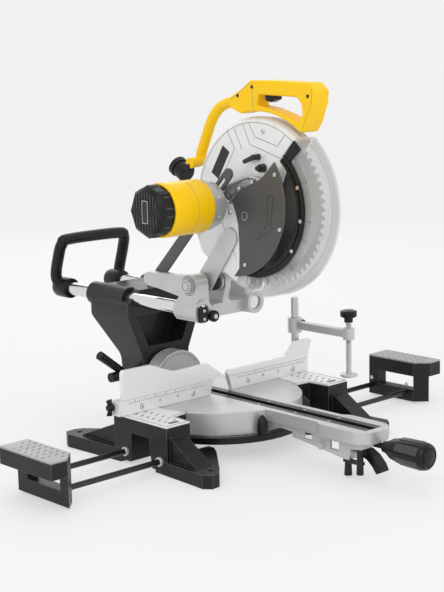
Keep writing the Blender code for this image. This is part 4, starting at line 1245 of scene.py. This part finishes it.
@dataclass
class Handles:
    """The yellow D-handle and the yellow carry handle behind it."""

    arbor: Point2
    half: float = 0.0180

    def build(self) -> None:
        """Build the handles."""
        self.build_main()
        path = [
            (0.006, -0.0640, 0.6660), (0.006, -0.050, 0.6640), (0.006, -0.030, 0.6615),
            (0.006, -0.006, 0.6520),
            (0.006, 0.016, 0.6300), (0.006, 0.034, 0.5960), (0.006, 0.049, 0.5640), (0.004, 0.049, 0.5500),
            (-0.012, 0.047, 0.5470), (-0.029, 0.046, 0.5460),
        ]
        Blank().sweep(smooth_line(path, 5), 0.0104, 24).made(
            "carry_grip", "head", Finish.YELLOW, Slot.YELLOW, replaces=["carry_handle"]
        )

    def build_main(self) -> None:
        """The D-handle: an outer loop with a hand hole, its seam lines and its screws."""
        outer = [
            (-0.056, 0.6545), (-0.054, 0.672), (-0.090, 0.690), (-0.112, 0.704), (-0.150, 0.7045),
            (-0.262, 0.700), (-0.278, 0.686), (-0.276, 0.664), (-0.262, 0.628), (-0.250, 0.612),
            (-0.236, 0.612),
        ] + front_arc(self.arbor, 0.1756, 56, 104, 16)
        hole = [
            (-0.128, 0.659), (-0.134, 0.678), (-0.228, 0.674), (-0.241, 0.662), (-0.243, 0.642),
            (-0.231, 0.630),
            (-0.205, 0.641), (-0.160, 0.654),
        ]
        body = Blank().pierced(outer, hole, -self.half, self.half).made(
            "d_handle", "head", Finish.YELLOW, Slot.YELLOW, replaces=["main_handle"]
        )
        round_edges(body, 0.0038)
        body.modifiers["rounded"].segments = 4
        # The seam lines are dark ribbons: painted shade in the joins of the handle's halves.
        halves = Blank()
        for seam in (
            [(-0.060, 0.668), (-0.092, 0.6865), (-0.113, 0.700)],
            [(-0.268, 0.690), (-0.266, 0.662), (-0.245, 0.618)],
            [(-0.118, 0.700), (-0.120, 0.652)],
        ):
            halves.ribbon(seam, 0.0006, -self.half - 0.0003, -self.half + 0.0002)
        halves.made("handle_seams", "head", Finish.SEAM, Slot.YELLOW)
        screws = Blank()
        for place in ((-0.080, 0.676), (-0.258, 0.676), (-0.118, 0.692)):
            screws.screw_head((-0.0180, *place), (-1, 0, 0), 0.0034, 0.0008)
        screws.made("handle_screws", "head", Finish.SPRING, Slot.STEEL)


@dataclass
class Base:
    """The base's fine pieces: wing grooves with painted shade, miter scale, fence scales and rod collars."""

    proud: float = 0.00025

    def build(self) -> None:
        """Build every piece."""
        self.build_wings()
        self.build_miter_scale()
        self.build_fences()
        self.build_collars()

    def build_wings(self) -> None:
        """The rows of slanted dashes, the groove line, the edge lines and the oval mark on each wing; the
        dashes and lines are dark ribbons, painted shade in the grooves and along the edges.
        """
        top = 0.092
        groove_shade_lines, wells = Blank(), Blank()
        for sign in (-1, 1):
            for row in range(7):
                for column in range(2):
                    x, y = sign * (0.199 + 0.023 * column), -0.086 + 0.0165 * row
                    path = [(x - 0.0065, y - 0.0035), (x + 0.0065, y + 0.0035)]
                    groove_shade_lines.ribbon(path, 0.0022, top - self.proud, top + self.proud, Plane.XY)
            line = [(sign * 0.150, 0.0325), (sign * 0.240, 0.0325)]
            groove_shade_lines.ribbon(line, 0.0012, top - self.proud, top + self.proud, Plane.XY)
            edge = [(sign * 0.2425, -0.111), (sign * 0.2425, 0.034)]
            groove_shade_lines.ribbon(edge, 0.0014, top - self.proud, top + self.proud, Plane.XY)
            corners = ((0.2420, -0.1125), (0.1905, -0.1125), (0.1865, -0.0640), (0.1430, -0.0580))
            front = [(sign * x, y) for x, y in corners]
            groove_shade_lines.ribbon(front, 0.0014, top - self.proud, top + self.proud, Plane.XY)
            oval = belt((sign * 0.2060, -0.0990), 0.0045, (sign * 0.2220, -0.0990), 0.00449, 10)
            wells.slab(oval, top - self.proud, top + self.proud, Plane.XY)
        groove_shade_lines.made("wing_groove_shade", "base", Finish.SEAM, Slot.GREY_CASTING)
        wells.made("wing_ovals", "base", Finish.GREY_CASTING, Slot.GREY_CASTING, 0.0001)

    def build_miter_scale(self) -> None:
        """The degree ticks round the front of the table, and the scale's screws."""
        top, low = 0.0475, 0.0473
        ticks = Blank()
        for degree in range(-52, 53):
            a = math.radians(270 + degree)
            inner = 0.1640 if degree % 5 else (0.1605 if degree % 10 else 0.1580)
            ends = [(r * math.cos(a), r * math.sin(a)) for r in (inner, 0.1690)]
            ticks.ribbon(ends, 0.0006 if degree % 5 else 0.0010, low, top + self.proud, Plane.XY)
        ticks.made("miter_ticks", "base", Finish.SILVER_CASTING, Slot.SILVER_CASTING)
        screws = Blank()
        for degree in (-48, -24, 24, 48):
            a = math.radians(270 + degree)
            screws.screw_head((0.1565 * math.cos(a), 0.1565 * math.sin(a), top), (0, 0, 1), 0.0030, 0.0016)
        screws.made("miter_scale_screws", "base", Finish.STEEL, Slot.STEEL)

    def build_fences(self) -> None:
        """The ruled scales along the fixed fences and their bolts."""
        face = 0.0003
        ticks, bolts = Blank(), Blank()
        for sign in (-1, 1):
            for i in range(39):
                x = sign * (0.046 + 0.005 * i)
                high = 0.1185 if i % 5 == 0 else 0.1160
                ticks.ribbon([(x, 0.1125), (x, high)], 0.0007, face - self.proud, face + 0.0002, Plane.XZ)
            for place in (0.075, 0.205):
                bolts.screw_head((sign * place, face, 0.1030), (0, -1, 0), 0.0048, 0.0018)
            for i, number in enumerate((5, 10, 15, 20)):
                self.number(ticks, number, sign * (0.071 + 0.045 * i), 0.1045, face)
        ticks.made("fence_scale", "base", Finish.INK, Slot.BLACK_PLASTIC)
        bolts.made("fence_bolts", "base", Finish.STEEL, Slot.STEEL)

    def number(self, blank: Blank, number: int, x: float, z: float, face: float) -> None:
        """Draw a small number with straight strokes on the fence's face.

        Args:
            blank: The blank that takes the strokes.
            number: The number, of the figures 0, 1, 2 and 5.
            x: Its middle.
            z: Its foot.
            face: The Y of the fence's face.
        """
        strokes = {
            "0": [(0, 0), (1, 0), (1, 2), (0, 2), (0, 0)],
            "1": [(0.5, 0), (0.5, 2)],
            "2": [(0, 2), (1, 2), (1, 1), (0, 1), (0, 0), (1, 0)],
            "5": [(1, 2), (0, 2), (0, 1), (1, 1), (1, 0), (0, 0)],
        }
        size, gap = 0.0022, 0.0034
        text = str(number)
        start = x - gap * (len(text) - 1) / 2 - size / 2
        for i, figure in enumerate(text):
            line = [(start + gap * i + u * size, z + v * size) for u, v in strokes[figure]]
            for a, b in zip(line, line[1:]):
                blank.ribbon([a, b], 0.0005, face - self.proud, face + 0.0002, Plane.XZ)

    def build_collars(self) -> None:
        """The bright collars where the rods enter the pedestals."""
        collars = Blank()
        for sign in (-1, 1):
            for y in (-0.096, 0.002):
                profile = [(0.0058, 0.0), (0.0088, 0.0), (0.0088, 0.0050), (0.0078, 0.0062), (0.0058, 0.0062)]
                collars.lathe(profile, (sign * 0.2450, y, 0.024), (sign, 0, 0), 32)
        collars.made("rod_collars", "base", Finish.SILVER_CASTING, Slot.SILVER_CASTING)


@dataclass
class SupportMarks:
    """The grip dashes and the screws of one sliding support; the dashes are dark ribbons, painted shade in
    the grip grooves.
    """

    side: str
    inner: float = 0.460
    front: float = -0.140
    top: float = 0.092
    rows: int = 8
    columns: int = 4
    row_gap: float = 0.0165
    column_gap: float = 0.0143
    chamfer_from: float = 0.497

    def build(self) -> None:
        """Build the pieces."""
        sign = -1 if self.side == "left" else 1
        body = f"{self.side}_support"
        dashes, screws = Blank(), Blank()
        for row in range(self.rows):
            for column in range(self.columns):
                x = sign * (self.inner + 0.0085 + self.column_gap * column)
                y = self.front + 0.017 + self.row_gap * row
                if abs(x) > self.chamfer_from and row in (0, self.rows - 1):
                    continue
                path = [(x - 0.0045, y - 0.0024), (x + 0.0045, y + 0.0024)]
                dashes.ribbon(path, 0.0020, self.top - 0.0002, self.top + 0.0003, Plane.XY)
        # The dashes are painted shade in the grip grooves.
        dashes.made(f"{self.side}_pad_dashes", body, Finish.SEAM, Slot.GREY_CASTING)
        for y in (-0.096, 0.002):
            screws.screw_head((sign * self.inner, y, 0.040), (-sign, 0, 0), 0.0042, 0.0022)
        screws.made(f"{self.side}_pad_screws", body, Finish.STEEL, Slot.STEEL)


@dataclass
class Table:
    """The turntable's fine pieces."""

    top: float = 0.092

    def build(self) -> None:
        """Build the insert screws, pointer and bevel scale."""
        screws = Blank()
        for sign in (-1, 1):
            for y in (-0.300, -0.215, -0.120, 0.060):
                screws.screw_head((sign * 0.0135, y, self.top - 0.0010), (0, 0, 1), 0.0030, 0.0011)
        screws.made("insert_screws", "table", Finish.STEEL, Slot.STEEL)
        pointer = [
            (0.0, 0.0360), (0.0035, 0.0335), (0.0080, 0.0265), (0.0105, 0.0160), (0.0105, 0.0), (0.0, 0.0),
        ]
        Blank().lathe(pointer, (-0.050, -0.1645, 0.0500), (0, 0, 1), 48).made(
            "miter_pointer", "table", Finish.BLACK_PLASTIC, Slot.BLACK_PLASTIC
        )
        band = [(0.0625, 0.0), (0.0662, 0.0), (0.0662, 0.0140), (0.0625, 0.0140)]
        Blank().lathe(band, (0, 0.1262, self.top), (0, 1, 0), 96).made(
            "bevel_scale", "table", Finish.SILVER_CASTING, Slot.SILVER_CASTING, 0.0004
        )
        ticks = Blank()
        for degree in range(-50, 51, 5):
            a = math.radians(90 + degree)
            ends = [(r * math.cos(a), self.top + r * math.sin(a)) for r in (0.0575, 0.0620)]
            ticks.ribbon(ends, 0.0007 if degree % 15 else 0.0012, 0.1257, 0.1262, Plane.XZ)
        ticks.made("bevel_ticks", "table", Finish.INK, Slot.BLACK_PLASTIC)


@dataclass
class Knobs:
    """The turned and winged knobs."""

    def build(self) -> None:
        """Build every knob."""
        self.build_miter_knob()
        self.build_wing("left_fence_wing", "left_fence_knob", (-0.2593, 0.021, 0.108), (-1, 0, 0), (0, 0, 1))
        self.build_wing("right_fence_wing", "right_fence_knob", (0.185, 0.0263, 0.108), (0, 1, 0), (1, 0, 0))
        self.build_wing("rail_wing", "rail_lock_knob", (0, 0.200, 0.2883), (0, 0, 1), (1, 0, 0), "rail_knob")

    def build_miter_knob(self) -> None:
        """The knob at the table's nose: a fluted barrel with grey grips and a grooved end."""
        centre, axis = (0.0, -0.397, 0.064), (0, -1, 0)
        profile = [
            (0.0, 0.0), (0.0050, 0.0), (0.0050, 0.0205), (0.0098, 0.0220), (0.0115, 0.0300), (0.0190, 0.0440),
            (0.0222, 0.0600), (0.0240, 0.0800), (0.0248, 0.0960), (0.0245, 0.1130), (0.0228, 0.1190),
            (0.0190, 0.1220), (0.0170, 0.1206), (0.0150, 0.1206), (0.0135, 0.1228), (0.0080, 0.1240),
            (0.0, 0.1240),
        ]
        Blank().lathe(profile, centre, axis, 96).made(
            "miter_knob", "miter_lock", Finish.BLACK_PLASTIC, Slot.BLACK_PLASTIC, replaces=["miter_lock_knob"]
        )
        grips = Blank()
        turn = Matrix.Translation(centre) @ facing(axis)
        sections = (
            (0.0600, 0.0228), (0.0620, 0.0240), (0.0800, 0.0250), (0.1080, 0.0257), (0.1110, 0.0244),
        )
        root, spread = 0.0205, (-0.30, -0.15, 0.0, 0.15, 0.30)
        for i in range(6):
            a0 = math.radians(60 * i + 30)
            rings = []
            for h, r in sections:
                outer = [(r * math.cos(a0 + t), r * math.sin(a0 + t)) for t in spread]
                low = [(root * math.cos(a0 + t), root * math.sin(a0 + t)) for t in (spread[-1], spread[0])]
                rings.append([turn @ Vector((u, v, h)) for u, v in outer + low])
            grips.rings(rings, False)
        grips.made("miter_knob_grips", "miter_lock", Finish.GREY_PLASTIC, Slot.GREY_PLASTIC, 0.0004)

    def build_wing(
        self, name: str, node: str, face: Point3, axis: Point3, across: Point3, body: str | None = None
    ) -> None:
        """A wing knob: a waisted hub and two rounded wings.

        Args:
            name: The piece's name.
            node: The CAD node that it stands for.
            face: The middle of its seat.
            axis: The way it faces.
            across: The way its wings point.
            body: The body it rides on, if it isn't named like the node.
        """
        out, side = Vector(axis), Vector(across)
        third = out.cross(side)
        base = Vector(face)
        knob = Blank()
        hub = [(0.0, 0.0), (0.0072, 0.0), (0.0066, 0.0090), (0.0054, 0.0120), (0.0, 0.0126)]
        knob.lathe(hub, base, axis, 32)
        sections = ((0.003, 0.0095, 0.0036), (0.009, 0.0125, 0.0030), (0.0145, 0.0150, 0.0026))
        for sign in (-1, 1):
            rings = []
            for reach, high, half in sections:
                centre = base + side * reach * sign
                ring = []
                for k in range(14):
                    a = 2 * math.pi * k / 14
                    rise = high * 0.55 + high * 0.45 * math.sin(a)
                    ring.append(centre + third * half * math.cos(a) + out * rise)
                rings.append(ring)
            tip = base + side * 0.0158 * sign
            rings.append([tip + (p - centre) * 0.55 for p in rings[-1]])
            knob.rings(rings, False)
        knob.made(name, body or node, Finish.BLACK_PLASTIC, Slot.BLACK_PLASTIC, replaces=[node])


@dataclass
class Carriage:
    """The carriage's fine pieces: hinge rings, stop block and rear handle, and the rails' seals."""

    hinge: Point2
    seal_y: float = 0.1905

    def build(self) -> None:
        """Build the pieces."""
        rings = Blank()
        for radius, x in ((0.0158, -0.0850), (0.0190, -0.0850), (0.0088, -0.0935)):
            profile = [(radius - 0.0009, -0.0005), (radius + 0.0009, -0.0005), (radius, 0.0008)]
            rings.lathe(profile, (x, *self.hinge), (-1, 0, 0), 64)
        rings.made("hinge_rings", "carriage", Finish.GREY_CASTING, Slot.GREY_CASTING)
        block = Blank().block((-0.0860, -0.0370, 0.2490), (-0.0650, -0.0303, 0.2780))
        block.made(
            "depth_stop", "carriage", Finish.BLACK_PLASTIC, Slot.BLACK_PLASTIC, 0.0016,
            replaces=["stop_block"],
        )
        screws = Blank()
        for z in (0.2555, 0.2715):
            screws.screw_head((-0.0755, -0.0370, z), (0, -1, 0), 0.0034, 0.0022)
        screws.made("stop_screws", "carriage", Finish.STEEL, Slot.STEEL)
        seals = Blank()
        for sign in (-1, 1):
            profile = [(0.0143, 0.0), (0.0210, 0.0), (0.0210, 0.0016), (0.0185, 0.0024), (0.0143, 0.0024)]
            seals.lathe(profile, (sign * 0.070, self.seal_y, 0.268), (0, -1, 0), 48)
        seals.made("rail_seals", "column", Finish.BLACK_PLASTIC, Slot.BLACK_PLASTIC)
        self.build_rear_handle()

    def build_rear_handle(self) -> None:
        """The carrying loop at the rails' rear end, with its two sockets."""
        path = [
            (-0.070, 0.400, 0.262), (-0.086, 0.418, 0.288), (-0.088, 0.404, 0.340), (-0.084, 0.396, 0.364),
            (-0.066, 0.395, 0.373), (0.066, 0.395, 0.373), (0.084, 0.396, 0.364), (0.088, 0.404, 0.340),
            (0.086, 0.418, 0.288), (0.070, 0.400, 0.262),
        ]
        loop = Blank().sweep(smooth_line(path, 6), 0.0122, 24)
        for sign in (-1, 1):
            profile = [
                (0.0142, 0.0), (0.0205, 0.0), (0.0215, 0.0020), (0.0215, 0.0390), (0.0195, 0.0440),
                (0.0142, 0.0440),
            ]
            loop.lathe(profile, (sign * 0.070, 0.386, 0.268), (0, 1, 0), 48)
        loop.made(
            "rear_loop", "carriage", Finish.BLACK_PLASTIC, Slot.BLACK_PLASTIC, replaces=["rear_handle"]
        )


@dataclass
class Clamp:
    """The work clamp's knobs and its threaded screw."""

    x: float = 0.235
    tip: float = -0.1282

    def build(self) -> None:
        """Build the pieces."""
        centre = (self.x, self.tip, 0.0)
        thread = [(0.0, 0.1260), (0.0056, 0.1260)]
        for i in range(36):
            z = 0.1275 + 0.0024 * i
            thread += [(0.0052, z), (0.0060, z + 0.0012)]
        thread += [(0.0056, 0.2250), (0.0, 0.2250)]
        Blank().lathe(thread, centre, (0, 0, 1), 32).made(
            "clamp_thread", "clamp_screw", Finish.STEEL, Slot.STEEL, replaces=["clamp_screw"]
        )
        cap = [
            (0.0, 0.2400), (0.0120, 0.2400), (0.0155, 0.2385), (0.0160, 0.2280), (0.0145, 0.2258),
            (0.0090, 0.2245),
            (0.0088, 0.2155), (0.0061, 0.2150), (0.0, 0.2150),
        ]
        knob = Blank().lathe(cap, centre, (0, 0, 1), 64)
        for i in range(12):
            a = math.radians(30 * i)
            x, y = self.x + 0.0153 * math.cos(a), self.tip + 0.0153 * math.sin(a)
            knob.rod((x, y, 0.2275), (x, y, 0.2385), 0.0017, None, 10)
        knob.made("clamp_knob", "clamp_screw", Finish.BLACK_PLASTIC, Slot.BLACK_PLASTIC)
        screw = Blank()
        screw.rod((self.x + 0.0148, 0.0218, 0.1905), (self.x + 0.0210, 0.0218, 0.1905), 0.0050)
        screw.rod((self.x + 0.0210, 0.0218, 0.1905), (self.x + 0.0270, 0.0218, 0.1905), 0.0085, 0.0075)
        screw.made("clamp_arm_screw", "clamp_arm", Finish.BLACK_PLASTIC, Slot.BLACK_PLASTIC, 0.0006)


@dataclass
class HingeGear:
    """The return spring, the link's pins and the head lock knob."""

    hinge: Point2
    link: Point2 = (0.130, 0.3145)
    turns: int = 5
    wire: float = 0.0017
    mean: float = 0.0155

    def build(self) -> None:
        """Build the pieces."""
        steps = 28
        coil = []
        for i in range(self.turns * steps + 1):
            a = 2 * math.pi * i / steps
            x = -0.0365 + 0.0200 * i / (self.turns * steps)
            coil.append((x, self.hinge[0] + self.mean * math.cos(a), self.hinge[1] + self.mean * math.sin(a)))
        Blank().sweep(coil, self.wire, 12).made(
            "spring_coil", "head", Finish.SPRING, Slot.BLACK_PLASTIC, replaces=["return_spring"]
        )
        pins = Blank()
        pins.lathe(
            [(0.0, 0.0020), (0.0035, 0.0020), (0.0045, 0.0012), (0.0050, 0.0), (0.0, 0.0)],
            (-0.0515, *self.link), (-1, 0, 0), 32,
        )
        pins.made("link_pin_cap", "link", Finish.STEEL, Slot.STEEL)
        knob = [
            (0.0, 0.0003), (0.0092, 0.0003), (0.0110, 0.0040), (0.0112, 0.0115), (0.0098, 0.0135),
            (0.0050, 0.0140), (0.0, 0.0140),
        ]
        centre = (-0.052, -0.0303, 0.2585)
        Blank().lathe(knob, centre, (0, -1, 0), 48).made(
            "head_lock_knob", "head_lock", Finish.BLACK_PLASTIC, Slot.BLACK_PLASTIC,
            replaces=["head_lock_pin"],
        )
        Blank().lathe([(0.0, 0.0), (0.0050, 0.0), (0.0046, 0.0012), (0.0, 0.0014)],
                      (-0.052, -0.0440, 0.2585), (0, -1, 0), 32).made(
            "head_lock_centre", "head_lock", Finish.STEEL, Slot.STEEL
        )


def main() -> None:
    """Dress the frame and build every fine piece."""
    logging.basicConfig(level=logging.INFO, format="%(name)s: %(message)s")
    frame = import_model()
    Studio().build()
    FrameDresser(frame).dress()
    axes = Axes(frame)
    arbor = axes.side("blade_spin")
    hinge = axes.side("head_drop")
    for sub_assembly in (
        UpperGuard(arbor), CoverPlate(), LowerGuard(arbor), SawBlade(arbor),
        Motor(axes.side("armature_spin")), Handles(arbor), Base(), SupportMarks("left"),
        SupportMarks("right"), Table(), Knobs(), Carriage(hinge), Clamp(), HingeGear(hinge),
    ):
        sub_assembly.build()


if __name__ == "__main__":
    main()
